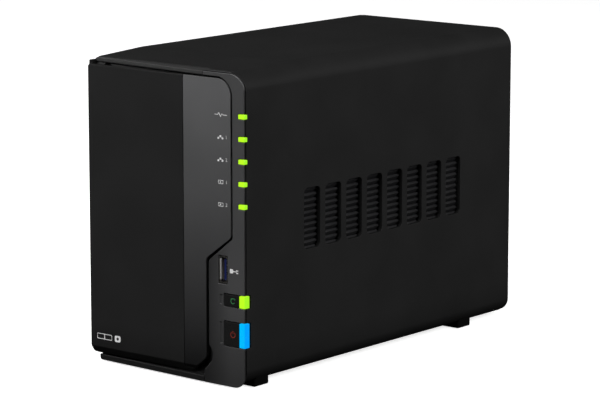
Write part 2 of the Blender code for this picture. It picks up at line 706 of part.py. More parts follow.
def make_drive_tray(number, centre):
    left = centre - TRAY_HALF_WIDTH
    right = centre + TRAY_HALF_WIDTH
    tray = box(f"drive_tray_{number}", (left, right), (TRAY_FRONT, TRAY_PLATE_REAR), (17.0, 149.0),
               "black_plastic")
    inside = TRAY_PLATE_REAR - 0.5
    low = DRIVE_BOTTOM - TRAY_ARM
    high = DRIVE_TOP + TRAY_ARM
    body = prism(f"tray_body_{number}", [[(left, low), (right - 3.4, low), (right - 3.4, DRIVE_BOTTOM),
                                          (left + 1.5, DRIVE_BOTTOM), (left + 1.5, DRIVE_TOP),
                                          (right - 3.4, DRIVE_TOP), (right - 3.4, high),
                                          (left, high)]], "Y", inside, TRAY_REAR)
    lugs = boxes(f"tray_lugs_{number}", [((centre + side * 14.3 - 1.1, centre + side * 14.3 + 1.1),
                                          (HANDLE_AXIS_Y - 1.5, TRAY_FRONT + 0.5),
                                          (HANDLE_AXIS_Z - 4.5, HANDLE_AXIS_Z + 4.5))
                                         for side in (-1, 1)])
    pin_hole = rods(f"tray_pin_hole_{number}", "X", [(HANDLE_AXIS_Y, HANDLE_AXIS_Z)], 1.0,
                    left - 1, right + 1, 8)
    slots = boxes(f"tray_slots_{number}", [((left - 1, left + 3), AIR_SLOT_Y, (z, z + AIR_SLOT_HEIGHT))
                                           for z in AIR_SLOT_BOTTOMS])
    release_room = box(f"tray_release_room_{number}", (centre - 6.3, centre + 6.3),
                       (TRAY_FRONT - 1, TRAY_PLATE_REAR + 5),
                       (RELEASE_Z[0] - GAP, RELEASE_Z[1] + GAP))
    cut(join(tray, body, lugs), pin_hole, slots, release_room)

    rails = []
    for side, z in (("lower", low - GAP - 1.0), ("upper", high + GAP + 1.0)):
        rails.append(box(f"tray_rail_{number}_{side}", (centre - 8, centre + 6), (-88.0, 20.0),
                         (z - 1.0, z + 1.0), "black_plastic"))
    slide = joint_frame(f"tray_slide_axis_{number}", (centre, TRAY_FRONT, HEIGHT / 2))
    hang(slide, tray, *rails)


def make_tray_handle(number, centre):
    low_y = HANDLE_AXIS_Y - HANDLE_HALF_THICKNESS
    high_y = HANDLE_AXIS_Y + HANDLE_HALF_THICKNESS
    top = HANDLE_AXIS_Z + HANDLE_HALF_THICKNESS
    outline = rounded([(low_y, HANDLE_BOTTOM, 1.0), (high_y, HANDLE_BOTTOM, 1.0),
                       (high_y, top, HANDLE_HALF_THICKNESS - 0.02),
                       (low_y, top, HANDLE_HALF_THICKNESS - 0.02)], 30.0)
    handle = prism(f"tray_handle_{number}", [outline], "X", centre - 12.8, centre + 12.8,
                   "black_plastic")
    pin = rods(f"handle_pin_{number}", "X", [(HANDLE_AXIS_Y, HANDLE_AXIS_Z)], 0.6, centre - 15.2,
               centre + 15.2, 8)
    grip = prism(f"handle_grip_{number}", [rectangle((centre - 8, centre + 8), (56.0, 72.0), 3.0)],
                 "Y", low_y - 1, high_y + 1)
    cut(join(handle, pin), grip)
    hang(joint_frame(f"tray_handle_axis_{number}", (centre, HANDLE_AXIS_Y, HANDLE_AXIS_Z)), handle)


def make_tray_release(number, centre):
    button = box(f"tray_release_{number}", (centre - 6, centre + 6), (TRAY_FRONT - 2.2, RELEASE_REAR),
                 RELEASE_Z, "grey_plastic")
    hang(joint_frame(f"tray_release_axis_{number}", (centre, TRAY_FRONT, sum(RELEASE_Z) / 2)), button)


def make_backplane():
    board = box("backplane", (-47.0, 22.0), (52.0, 52.0 + BOARD_THICKNESS), (22.0, 142.0),
                "circuit_board")
    holes = boxes("backplane_holes", [((centre - 10, centre + 10), (51.0, 55.0), (92.0, 132.0))
                                      for centre in BAY_CENTRES])
    cut(board, holes)
    for number, centre in enumerate(BAY_CENTRES, 1):
        x = centre + 5.0
        plug = box(f"sata_connector_{number}", (x - 3.2, x + 3.2), (46.8, 51.7), (38.0, 80.0),
                   "black_plastic")
        slots = boxes(f"sata_slots_{number}", [((x - 1.2, x + 1.2), (46.0, 50.0), (40.0, 56.0)),
                                               ((x - 1.2, x + 1.2), (46.0, 50.0), (58.0, 78.0))])
        cut(plug, slots)


# Electronics on the right of the bays

def make_mainboard():
    board = box("mainboard", (29.0, 29.0 + BOARD_THICKNESS), (-70.0, 78.0), (12.0, 146.0),
                "circuit_board")
    blocks = [((24.9, 29.5), (-38.0, 42.0), (65.0, 69.7)),
              ((30.2, 32.0), (-10.0, 15.0), (95.0, 120.0)),
              ((30.2, 38.0), (-60.0, -48.0), (118.0, 130.0)),
              ((30.2, 36.0), (40.0, 52.0), (60.0, 68.0)),
              ((30.2, 41.0), (58.0, 74.0), (22.0, 30.0))]
    join(board, boxes("mainboard_components", blocks))
    box("memory_module", (26.2, 27.4), (-33.0, 37.0), (70.0, 100.0), "circuit_board")
    rods("coin_cell", "X", [(-50.0, 40.0)], 10.0, 30.9, 34.1, 24, "steel")


def make_heatsink():
    """Comb seen from above: a base plate with fins that run up and down."""
    base = (32.3, 35.0)
    tip = 46.0
    fins = 9
    pitch = 5.5
    fin = 1.6
    start = 2.5 - (fins - 1) / 2 * pitch - fin / 2
    outline = [(base[0], start + (fins - 1) * pitch + fin), (base[0], start)]
    for index in range(fins):
        y = start + index * pitch
        outline += [(tip, y), (tip, y + fin)]
        if index < fins - 1:
            outline += [(base[1], y + fin), (base[1], y + pitch)]
    prism("heatsink", [outline], "Z", 84.0, 131.0, "aluminium")


# Rear

def make_rear_panel():
    panel = prism("rear_panel", [rounded(body_corners(GAP))], "Y", PANEL_FRONT, REAR, "black_plastic")
    inset = WALL + PLUG_GAP
    rim = prism("panel_rim", [rounded(body_corners(inset)), rounded(body_corners(inset + 1.8))], "Y",
                PANEL_RIM_FRONT, PANEL_FRONT + 0.6)
    slots = []
    for row in range(-5, 6):
        dz = row * 7.4
        reach = math.sqrt(42.0 ** 2 - dz ** 2)
        for side in (-1, 1):
            x = sorted((side * 2.2, side * reach))
            slots.append((x, (PANEL_FRONT - 1, REAR + 1), (FAN_Z + dz - 1.9, FAN_Z + dz + 1.9)))
    ports = [((x - LAN_SIZE[0] / 2 - GAP, x + LAN_SIZE[0] / 2 + GAP), (PANEL_FRONT - 1, REAR + 1),
              (IO_BOARD_TOP, IO_BOARD_TOP + LAN_SIZE[1] + 2 * GAP)) for x in LAN_CENTRES]
    ports.append(((25.7, 39.5), (PANEL_FRONT - 1, REAR + 1), (IO_BOARD_TOP, 17.5)))
    ports.append(((-47.5, -40.5), (PANEL_FRONT - 1, REAR + 1), (28.5, 31.5)))
    half = FAN_HOLE_PITCH / 2
    corners = [(x, FAN_Z + z) for x in (-half, half) for z in (-half, half)]
    cut(join(panel, rim), boxes("panel_slots", slots), boxes("panel_ports", ports),
        rods("panel_screw_holes", "Y", corners, 1.9, PANEL_FRONT - 1, REAR + 1, 10),
        rods("panel_screw_seats", "Y", corners, 3.5, REAR - 2.0, REAR + 1, 12),
        rods("panel_dc_hole", "Y", [(-28.0, 16.6)], 4.9, PANEL_FRONT - 1, REAR + 1, 16),
        rods("panel_reset_hole", "Y", [(43.0, 16.0)], 1.5, PANEL_FRONT - 1, REAR + 1, 8))
    for number, (x, z) in enumerate(corners, 1):
        screw = rods(f"fan_screw_{number}", "Y", [(x, z)], 3.1, REAR - 1.7, REAR - 0.1, 10, "steel")
        join(screw, rods(f"fan_screw_shank_{number}", "Y", [(x, z)], 1.5, REAR - 10, REAR - 1.0, 8))


def make_fan():
    half = FAN_HOLE_PITCH / 2
    edge = FAN_SIZE / 2
    holes = [ring((x, FAN_Z + z), 2.2, 8) for x in (-half, half) for z in (-half, half)]
    frame = prism("fan_frame", [rectangle((-edge, edge), (FAN_Z - edge, FAN_Z + edge), 4.0),
                                ring((0.0, FAN_Z), FAN_BORE, 32)] + holes, "Y", FAN_FRONT, FAN_REAR,
                  "black_plastic")
    motor_seat = rods("fan_motor_seat", "Y", [(0.0, FAN_Z)], FAN_HUB + 1, FAN_REAR - 3.2,
                      FAN_REAR - 0.4, 24)
    struts = [box("fan_strut_level", (-FAN_BORE - 1, FAN_BORE + 1), (FAN_REAR - 3.0, FAN_REAR - 0.6),
                  (FAN_Z - 2, FAN_Z + 2)),
              box("fan_strut_upright", (-2.0, 2.0), (FAN_REAR - 3.0, FAN_REAR - 0.6),
                  (FAN_Z - FAN_BORE - 1, FAN_Z + FAN_BORE + 1))]
    shaft_hole = rods("fan_shaft_hole", "Y", [(0.0, FAN_Z)], 1.9, FAN_REAR - 4, FAN_REAR + 1, 12)
    cut(join(frame, motor_seat, *struts), shaft_hole)

    rotor = rods("fan_rotor", "Y", [(0.0, FAN_Z)], FAN_HUB, FAN_FRONT + 2, FAN_REAR - 3.7, 24,
                 "black_plastic")
    shaft = rods("fan_shaft", "Y", [(0.0, FAN_Z)], 1.5, FAN_REAR - 5, FAN_REAR - 0.8, 12)
    blades = bmesh.new()
    for index in range(FAN_BLADES):
        turn = Matrix.Rotation(math.tau * index / FAN_BLADES, 4, "Y")
        pitch = Matrix.Rotation(math.radians(38.0), 4, "X")
        size = Matrix.Diagonal((26.0, 1.4, 17.0, 1.0))
        spot = Matrix.Translation((0.0, FAN_FRONT + 11.0, FAN_Z))
        out = Matrix.Translation((28.8, 0.0, 0.0))
        bmesh.ops.create_cube(blades, size=1.0,
                              matrix=Matrix.Scale(MM, 4) @ spot @ turn @ out @ pitch @ size)
    join(rotor, shaft, place("fan_blades", finish_mesh("fan_blades", blades), None))
    hang(joint_frame("fan_axis", (0.0, FAN_FRONT, FAN_Z)), rotor)


def make_ports():
    box("io_board", (-46.0, 46.0), (80.0, 111.0), (IO_BOARD_TOP - BOARD_THICKNESS, IO_BOARD_TOP),
        "circuit_board")
    bottom = IO_BOARD_TOP + GAP
    for number, x in enumerate(LAN_CENTRES, 1):
        jack = box(f"lan_jack_{number}", (x - LAN_SIZE[0] / 2, x + LAN_SIZE[0] / 2),
                   (94.8, PORT_REAR), (bottom, bottom + LAN_SIZE[1]), "nickel")
        cut(jack, box(f"lan_cavity_{number}", (x - 5.9, x + 5.9), (102.5, REAR + 1),
                      (bottom + 2.2, bottom + 9.4)),
            box(f"lan_latch_room_{number}", (x - 3.1, x + 3.1), (106.0, REAR + 1),
                (bottom + 9.0, bottom + 11.6)))
    make_usb_socket("usb_rear", (26.0, 39.2), (100.0, PORT_REAR), (bottom, bottom + 6.0), 1,
                    "blue_plastic")
    jack = box("dc_jack", (-33.0, -23.0), (101.0, PANEL_FRONT - GAP), (bottom, bottom + 11.0),
               "black_plastic")
    join(jack, rods("dc_collar", "Y", [(-28.0, 16.6)], 4.5, PANEL_FRONT - 2, PORT_REAR, 16))
    bore = prism("dc_bore", [ring((-28.0, 16.6), 3.0, 16), ring((-28.0, 16.6), 1.0, 8)], "Y",
                 106.0, REAR + 1)
    pin_end = rods("dc_pin_end", "Y", [(-28.0, 16.6)], 1.3, PORT_REAR - 1.5, REAR + 1, 8)
    cut(jack, bore, pin_end)
    button = rods("reset_button", "Y", [(43.0, 16.0)], 1.15, 104.0, 115.2, 10, "grey_plastic")
    hang(joint_frame("reset_button_axis", (43.0, 115.2, 16.0)), button)


def build():
    make_outer_cover()
    make_side_vent("side_vent_right", 1, 3.2)
    make_side_vent("side_vent_left", -1, 1.6)
    make_base_pan()
    make_feet()
    make_front_bezel()
    make_grommets()
    make_control_column()
    make_indicator_lenses()
    make_button("power", POWER_Z, "blue_lens")
    make_button("copy", COPY_Z, "green_lens")
    make_usb_socket("usb_front", USB_X, (COLUMN_FRONT + 0.1, BOARD_FRONT - 0.3), USB_Z, -1,
                    "blue_plastic")
    make_control_board()
    make_front_cover()
    make_drive_cage()
    for number, centre in enumerate(BAY_CENTRES, 1):
        make_drive_tray(number, centre)
        make_tray_handle(number, centre)
        make_tray_release(number, centre)
    make_backplane()
    make_mainboard()
    make_heatsink()
    make_rear_panel()
    make_fan()
    make_ports()


build()
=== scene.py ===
"""Looks for a two-bay desktop network storage enclosure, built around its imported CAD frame.

Lengths are millimetres and are turned into metres by MM where a mesh is made. +Z is up, the
front faces -Y and +X is to the right as seen from the front.
"""
import json
from math import atan2, ceil, cos, pi, radians, sin, sqrt, tau

import bmesh
import bpy
from mathutils import Matrix, Vector

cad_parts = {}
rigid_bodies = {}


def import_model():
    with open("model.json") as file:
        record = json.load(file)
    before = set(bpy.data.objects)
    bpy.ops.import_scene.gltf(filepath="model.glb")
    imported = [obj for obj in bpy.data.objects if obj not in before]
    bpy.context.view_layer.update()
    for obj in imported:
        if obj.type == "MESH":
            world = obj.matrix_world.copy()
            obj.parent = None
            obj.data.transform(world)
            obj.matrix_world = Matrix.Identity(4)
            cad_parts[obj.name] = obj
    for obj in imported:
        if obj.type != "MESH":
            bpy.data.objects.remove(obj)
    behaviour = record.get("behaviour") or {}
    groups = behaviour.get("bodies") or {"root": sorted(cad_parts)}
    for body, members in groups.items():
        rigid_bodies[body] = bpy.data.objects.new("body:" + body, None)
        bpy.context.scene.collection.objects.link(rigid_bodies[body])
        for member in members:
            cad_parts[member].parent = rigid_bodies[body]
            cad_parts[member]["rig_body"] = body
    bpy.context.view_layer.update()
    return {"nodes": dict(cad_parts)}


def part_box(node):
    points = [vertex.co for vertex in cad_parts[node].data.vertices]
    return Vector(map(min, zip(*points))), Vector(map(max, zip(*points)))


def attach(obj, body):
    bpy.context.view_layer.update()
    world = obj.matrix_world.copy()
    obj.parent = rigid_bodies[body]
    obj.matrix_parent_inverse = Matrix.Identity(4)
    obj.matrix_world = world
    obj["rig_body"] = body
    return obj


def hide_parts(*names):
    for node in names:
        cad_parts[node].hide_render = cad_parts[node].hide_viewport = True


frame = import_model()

MM = 0.001


def span(node):
    """The node's low and high on x, y and z, in millimetres."""
    low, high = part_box(node)
    return [(a / MM, b / MM) for a, b in zip(low, high)]


def around(middle, reach):
    """Range that reaches equally far on both sides of a middle."""
    return (middle - reach, middle + reach)


def wider(ends, room):
    """Range with room added at both ends, or taken off where the room is negative."""
    return (ends[0] - room, ends[1] + room)


# Sizes read from the frame
CASE_X, CASE_Y, CASE_Z = span("outer_cover")
PANEL_X, PANEL_Y, PANEL_Z = span("front_cover_panel")
TRIM_X, TRIM_Y, TRIM_Z = span("front_cover_trim")
COVER_Z = (PANEL_Z[0], TRIM_Z[1])
COLUMN_X, COLUMN_Y, COLUMN_Z = span("control_column")
BEZEL_X, _, BEZEL_Z = span("front_bezel")
REAR_Y = span("rear_panel")[1]
FAN_X, FAN_Y, FAN_Z = span("fan_frame")
ROTOR_Y = span("fan_rotor")[1]
BACK_BOARD = span("backplane")
MAIN_BOARD = span("mainboard")
FRONT_BOARD = span("control_board")
IO_BOARD = span("io_board")
FRONT = PANEL_Y[0]
REAR = REAR_Y[1]
SIDE = CASE_X[1]
TOP = CASE_Z[1]

# Case
WALL = 2.4
GAP = 0.3
PLUG_GAP = 0.5
PLUG_SIDE = SIDE - WALL - PLUG_GAP
PLUG_Z = (CASE_Z[0] + WALL + PLUG_GAP, TOP - WALL - PLUG_GAP)
TOP_RIGHT_RADIUS = 10.5
BOTTOM_RIGHT_RADIUS = 7.5
LEFT_RADIUS = 3.0
ROOF_FALL_Y = (-75.0, -110.0)
ROOF_FALL = 1.8
BEZEL_FLANGE_REAR = -108.7
VENT_COUNT = 8
VENT_PITCH = 17.6
VENT_WINDOW = (13.2, 32.0)
VENT_CENTRE_Z = 82.5
VENT_CORNER = 2.5
VENT_FRAME_BORDER = 4.0
VENT_FRAME_HALF_HEIGHT = 17.6
SLAT_ROWS = 11
SLAT_PITCH = 3.1
SLAT_TILT = 45.0
SLAT_HALF_HEIGHT = 0.75

# Front
PLUG_REAR = -104.0
COLUMN_FLANGE_REAR = -114.7
COLUMN_RECESS = -112.3
COLUMN_BAND_REAR = -111.0
COLUMN_WALL = 1.8
STAGGER = 0.05
BAND_END_X = 42.8
SCOOP_RIGHT = 32.2
BAYS_X = (-49.6, 22.4)
BAYS_Z = (14.6, 151.4)
BEZEL_FRONT = (-110.0, -112.3)
BEZEL_LIP_FRONT = (-110.4, -115.6)
BEZEL_SKIRT_FRONT = (-112.5, -115.6)
SKIRT_LEFT = -50.2
SKIRT_STEP_Z = 4.2
COVER_RIGHT = 44.75
COVER_WAIST_X = 27.9
COVER_STEP = (66.2, 78.6)
COVER_CORNER_RADIUS = 9.0
COVER_CHAMFER = (16.8, 14.0)
COVER_SHELL = 2.6
COVER_RIBS_X = (-34.0, -14.0, 6.0)
COVER_RIBS_Z = (38.0, 82.5, 127.0)
COVER_LUG_RISE = 2.2
COVER_LUG_REAR = -111.2
COVER_CLEARANCE = 0.9
WAIST_CLEARANCE = 1.6
TRIM_ROOM = 1.3
POST_RADIUS = 1.9
GROMMET_RADIUS = 3.3
POST_PLACES = [(-44.0, 156.6), (16.0, 156.6), (-44.0, 9.6), (16.0, 9.6)]
LENS_HEIGHTS = [sum(span(f"indicator_lens_{number}")[2]) / 2 for number in range(1, 6)]
LENS_HALF_HEIGHT = 1.1
LENS_SIDE_END = -113.6
CAP_DEPTH = 3.6
BUTTON_ROOM_END = -111.1
BUTTONS = {"power": span("power_button_cap")[2], "copy": span("copy_button_cap")[2]}
BUTTON_X = span("power_button_cap")[0]
USB_WALL = 0.5
USB_PAD_PITCH = 2.3

# Rear
REAR_PANEL_FRONT = 113.3
LOCK_SLOT = ((-47.5, -40.5), (28.5, 31.5))
FAN_CENTRE_Z = sum(FAN_Z) / 2
FAN_CENTRE = (0.0, FAN_CENTRE_Z)
FAN_BORE = 43.5
FAN_HOLE_PITCH = 82.5
FAN_HUB = 18.0
FAN_BLADES = 7
FAN_BLADE_TIP = 41.6
FAN_VENT_REACH = 42.0
DC_PLACE = (-28.0, 16.6)
RESET_PLACE = (43.0, 16.0)

# Drive connectors: each row's lowest pin and number of pins
PIN_ROWS = [(41.2, 7), (59.2, 15)]
PIN_PITCH = 1.27


# Meshes

def new_piece(name, bm):
    bmesh.ops.recalc_face_normals(bm, faces=bm.faces)
    mesh = bpy.data.meshes.new(name)
    bm.to_mesh(mesh)
    bm.free()
    solid = bpy.data.objects.new(name, mesh)
    bpy.context.scene.collection.objects.link(solid)
    return solid


def add_box(bm, x, y, z, turn=None):
    size = (x[1] - x[0], y[1] - y[0], z[1] - z[0])
    middle = Vector((sum(x) / 2, sum(y) / 2, sum(z) / 2))
    shape = Matrix.Translation(middle) @ (turn or Matrix.Identity(4)) @ Matrix.Diagonal((*size, 1.0))
    bmesh.ops.create_cube(bm, size=1.0, matrix=Matrix.Scale(MM, 4) @ shape)


def boxes(name, ranges):
    """Boxes in one mesh, each given as its (low, high) on x, y and z."""
    bm = bmesh.new()
    for x, y, z in ranges:
        add_box(bm, x, y, z)
    return new_piece(name, bm)


def block(name, x, y, z):
    """A single box, given as its (low, high) on x, y and z."""
    return boxes(name, [(x, y, z)])


AXIS_TURNS = {
    "X": Matrix.Rotation(pi / 2, 4, "Y"),
    "Y": Matrix.Rotation(pi / 2, 4, "X"),
    "Z": Matrix.Identity(4),
}


def along_axis(axis, first, second, distance):
    return {"X": (distance, first, second), "Y": (first, distance, second),
            "Z": (first, second, distance)}[axis]


def rods(name, centres, radius, low, high, sides=40, axis="Y"):
    """Round bars along one axis. A centre gives the other two coordinates in x, y, z order."""
    bm = bmesh.new()
    for first, second in centres:
        spot = Matrix.Translation(along_axis(axis, first, second, (low + high) / 2))
        bmesh.ops.create_cone(bm, cap_ends=True, segments=sides, radius1=radius, radius2=radius,
                              depth=high - low, matrix=Matrix.Scale(MM, 4) @ spot @ AXIS_TURNS[axis])
    return new_piece(name, bm)


def turned(name, centre, profile, sides=48, axis="Y"):
    """Closed solid turned about an axis, from (radius, distance along) points in a loop.

    A profile that starts and ends at radius 0 makes a solid knob, and any other makes a ring.
    """
    bm = bmesh.new()
    rows = []
    for radius, distance in profile:
        count = 1 if radius == 0.0 else sides
        row = []
        for step in range(count):
            angle = tau * step / sides
            spot = along_axis(axis, centre[0] + radius * cos(angle), centre[1] + radius * sin(angle),
                              distance)
            row.append(bm.verts.new([value * MM for value in spot]))
        rows.append(row)
    pairs = list(zip(rows, rows[1:]))
    if len(rows[0]) > 1:
        pairs.append((rows[-1], rows[0]))
    for lower, upper in pairs:
        for step in range(sides):
            ahead = (step + 1) % sides
            corners = [lower[step % len(lower)], lower[ahead % len(lower)], upper[ahead % len(upper)],
                       upper[step % len(upper)]]
            corners = list(dict.fromkeys(corners))
            if len(corners) > 2:
                bm.faces.new(corners)
    return new_piece(name, bm)


def rounded(corners, chord=0.8):
    """Outline through (a, b, radius) corners, with an arc of short chords where there is a radius."""
    outline = []
    for index, (a, b, radius) in enumerate(corners):
        before = corners[index - 1]
        after = corners[(index + 1) % len(corners)]
        if radius <= 0.0:
            outline.append((a, b))
            continue
        back = atan2(before[1] - b, before[0] - a)
        ahead = atan2(after[1] - b, after[0] - a)
        opening = (ahead - back) % tau
        bend = -1.0 if opening > pi else 1.0
        half = (tau - opening if opening > pi else opening) / 2
        reach = radius / sin(half)
        middle = back + bend * half
        centre = (a + reach * cos(middle), b + reach * sin(middle))
        sweep = pi - 2 * half
        steps = max(2, ceil(sweep * radius / chord))
        start = back - bend * pi / 2
        for step in range(steps + 1):
            angle = start - bend * (sweep * step / steps)
            outline.append((centre[0] + radius * cos(angle), centre[1] + radius * sin(angle)))
    return outline


def ring(centre, radius, sides=48):
    return [(centre[0] + radius * cos(tau * step / sides), centre[1] + radius * sin(tau * step / sides))
            for step in range(sides)]


def rectangle(a, b, radius=0.0, chord=0.8):
    return rounded([(a[0], b[0], radius), (a[1], b[0], radius), (a[1], b[1], radius), (a[0], b[1], radius)],
                   chord)


def stroke(points, width):
    """Outline of a line of even width through the points."""
    directions = []
    for start, end in zip(points, points[1:]):
        step = Vector(end) - Vector(start)
        directions.append(step.normalized())
    sides = ([], [])
    for index, point in enumerate(points):
        before = directions[max(index - 1, 0)]
        after = directions[min(index, len(directions) - 1)]
        across = Vector((-before.y - after.y, before.x + after.x)).normalized()
        reach = width / 2 / max(across.dot(Vector((-after.y, after.x))), 0.3)
        for side, sign in zip(sides, (1, -1)):
            side.append(tuple(Vector(point) + across * reach * sign))
    return sides[0] + sides[1][::-1]


def arc(centre, radius, start, end, steps=14):
    """Points on a circle, from one angle to another in degrees."""
    angles = [radians(start + (end - start) * step / steps) for step in range(steps + 1)]
    return [(centre[0] + radius * cos(angle), centre[1] + radius * sin(angle)) for angle in angles]


OUTLINE_TURNS = {
    "X": Matrix.Rotation(pi / 2, 4, "Z") @ Matrix.Rotation(pi / 2, 4, "X"),
    "Y": Matrix.Rotation(pi / 2, 4, "X"),
    "Z": Matrix.Identity(4),
}


def mesh_of(guide):
    """The mesh a curve or text object shows as, with the guide object deleted."""
    bpy.context.scene.collection.objects.link(guide)
    bpy.context.view_layer.update()
    mesh = bpy.data.meshes.new_from_object(guide.evaluated_get(bpy.context.evaluated_depsgraph_get()))
    bpy.data.objects.remove(guide, do_unlink=True)
    return mesh


def prism(name, loops, low, high, axis="Y"):
    """Flat outline with its holes, run along an axis from low to high."""
    curve = bpy.data.curves.new(name, "CURVE")
    curve.dimensions = "2D"
    curve.fill_mode = "BOTH"
    curve.extrude = (high - low) / 2 * MM
    for loop in loops:
        spline = curve.splines.new("POLY")
        spline.points.add(len(loop) - 1)
        for point, (a, b) in zip(spline.points, loop):
            point.co = (a * MM, b * MM, 0.0, 1.0)
        spline.use_cyclic_u = True
    mesh = mesh_of(bpy.data.objects.new(name + "_outline", curve))
    shift = Matrix.Translation(along_axis(axis, 0.0, 0.0, (low + high) / 2 * MM))
    mesh.transform(shift @ OUTLINE_TURNS[axis])
    bm = bmesh.new()
    bm.from_mesh(mesh)
    tidy(bm)
    bpy.data.meshes.remove(mesh)
    return new_piece(name, bm)


def tidy(bm):
    """Merges doubled points and joins triangles that lie in one plane."""
    bmesh.ops.remove_doubles(bm, verts=bm.verts, dist=1e-6)
    bmesh.ops.dissolve_limit(bm, angle_limit=radians(0.3), verts=bm.verts, edges=bm.edges)


def combine(target, operation, tools):
    for tool in tools:
        step = target.modifiers.new(tool.name, "BOOLEAN")
        step.operation = operation
        step.solver = "EXACT"
        step.object = tool
    return target


def cut(target, *tools):
    return combine(target, "DIFFERENCE", tools)


def join(target, *tools):
    return combine(target, "UNION", tools)


def discard(tool):
    for step in tool.modifiers:
        discard(step.object)
    bpy.data.objects.remove(tool, do_unlink=True)


def settle(piece):
    """Applies a piece's cuts and joins, and deletes the tools."""
    if not piece.modifiers:
        return piece
    bpy.context.view_layer.update()
    graph = bpy.context.evaluated_depsgraph_get()
    mesh = bpy.data.meshes.new_from_object(piece.evaluated_get(graph))
    tools = [step.object for step in piece.modifiers]
    piece.modifiers.clear()
    for tool in tools:
        discard(tool)
    bm = bmesh.new()
    bm.from_mesh(mesh)
    tidy(bm)
    bm.to_mesh(mesh)
    bm.free()
    piece.data = mesh
    return piece


def ease(piece, edge, segments=2, angle=32.0):
    """Rounds the sharp edges by a bevel of that width and shades flats as flat."""
    settle(piece)
    if edge:
        bevel = piece.modifiers.new("edges", "BEVEL")
        bevel.width = edge * MM
        bevel.segments = segments
        bevel.limit_method = "ANGLE"
        bevel.angle_limit = radians(angle)
        bevel.use_clamp_overlap = False
        graph = bpy.context.evaluated_depsgraph_get()
        mesh = bpy.data.meshes.new_from_object(piece.evaluated_get(graph))
        piece.modifiers.clear()
        piece.data = mesh
    piece.data.shade_smooth()
    piece.data.set_sharp_from_angle(angle=radians(40.0))
    shading = piece.modifiers.new("shading", "WEIGHTED_NORMAL")
    shading.keep_sharp = True
    return piece


# Materials

LOOKS = {}


def new_look(name, colour, roughness, metallic=0.0, specular=0.5):
    look = bpy.data.materials.new(name)
    look.use_nodes = True
    shader = look.node_tree.nodes["Principled BSDF"]
    shader.inputs["Base Color"].default_value = (*colour, 1.0)
    shader.inputs["Roughness"].default_value = roughness
    shader.inputs["Metallic"].default_value = metallic
    shader.inputs["Specular IOR Level"].default_value = specular
    LOOKS[name] = look
    return look.node_tree, shader


def add_node(tree, kind, inputs=None):
    made = tree.nodes.new("ShaderNode" + kind)
    for name, value in (inputs or {}).items():
        made.inputs[name].default_value = value
    return made


def link(output, socket):
    """Feeds one node's output into another node's socket."""
    socket.id_data.links.new(output, socket)


def place(tree, stretch=(1.0, 1.0, 1.0)):
    """The object's own coordinates, in metres, stretched where asked."""
    coordinates = add_node(tree, "TexCoord")
    mapping = add_node(tree, "Mapping", {"Scale": stretch})
    link(coordinates.outputs["Object"], mapping.inputs["Vector"])
    return mapping.outputs["Vector"]


def noise(tree, grain, detail=2.0, stretch=(1.0, 1.0, 1.0)):
    """Noise whose grains are about that many millimetres wide."""
    texture = add_node(tree, "TexNoise", {"Scale": 1.0 / (grain * MM), "Detail": detail})
    link(place(tree, stretch), texture.inputs["Vector"])
    return texture.outputs["Fac"]


def cells(tree, size, kind="F1"):
    texture = add_node(tree, "TexVoronoi", {"Scale": 1.0 / (size * MM)})
    texture.feature = kind
    link(place(tree), texture.inputs["Vector"])
    return texture.outputs["Distance"]


def tint(tree, amount, low, high, start=0.35, end=0.65):
    """Colour that runs from low to high as the amount rises from start to end."""
    ramp = add_node(tree, "ValToRGB")
    for element, spot, colour in zip(ramp.color_ramp.elements, (start, end), (low, high)):
        element.position = spot
        element.color = (*colour, 1.0)
    link(amount, ramp.inputs["Fac"])
    return ramp.outputs["Color"]


def spread(tree, amount, low, high, start=0.3, end=0.7):
    ranged = add_node(tree, "MapRange", {"From Min": start, "From Max": end, "To Min": low, "To Max": high})
    link(amount, ranged.inputs["Value"])
    return ranged.outputs["Result"]


def two_way(tree, operation, first, second):
    """One number worked out from two others."""
    worked = add_node(tree, "Math")
    worked.operation = operation
    link(first, worked.inputs[0])
    link(second, worked.inputs[1])
    return worked.outputs["Value"]


def relief(tree, shader, height, depth):
    """Surface relief of that depth in millimetres."""
    bump = add_node(tree, "Bump", {"Distance": depth * MM})
    link(height, bump.inputs["Height"])
    link(bump.outputs["Normal"], shader.inputs["Normal"])


def shade(colour, factor):
    return tuple(min(channel * factor, 1.0) for channel in colour)


def product(tree, first, second):
    """One colour multiplied by another."""
    mixed = tree.nodes.new("ShaderNodeMix")
    mixed.data_type = "RGBA"
    mixed.blend_type = "MULTIPLY"
    mixed.inputs["Factor"].default_value = 1.0
    link(first, mixed.inputs["A"])
    link(second, mixed.inputs["B"])
    return mixed.outputs["Result"]


def rise(tree, axis, start, end, low):
    """Number that grows from low to 1 between two places along an axis, in millimetres."""
    parts = add_node(tree, "SeparateXYZ")
    link(place(tree), parts.inputs["Vector"])
    return spread(tree, parts.outputs[axis], low, 1.0, start * MM, end * MM)


def moulded(name, colour, roughness, specular, grain, depth, drift=0.1, painted_light=None):
    """Moulded plastic: a spark-eroded grain over a slow drift in colour, times the painted light it is
    given, if any.
    """
    tree, shader = new_look(name, colour, roughness, specular=specular)
    texture = noise(tree, grain, 3.0)
    slow = noise(tree, 30.0)
    tones = tint(tree, slow, shade(colour, 1 - drift), shade(colour, 1 + drift))
    # Painted light: the ramp darkens the tones by place, as painted shade on most parts and as a painted
    # reflection on the trim.
    if painted_light:
        tones = product(tree, tones, painted_light(tree))
    link(tones, shader.inputs["Base Color"])
    link(spread(tree, texture, roughness - 0.05, roughness + 0.05), shader.inputs["Roughness"])
    relief(tree, shader, texture, depth)
    return tree, shader


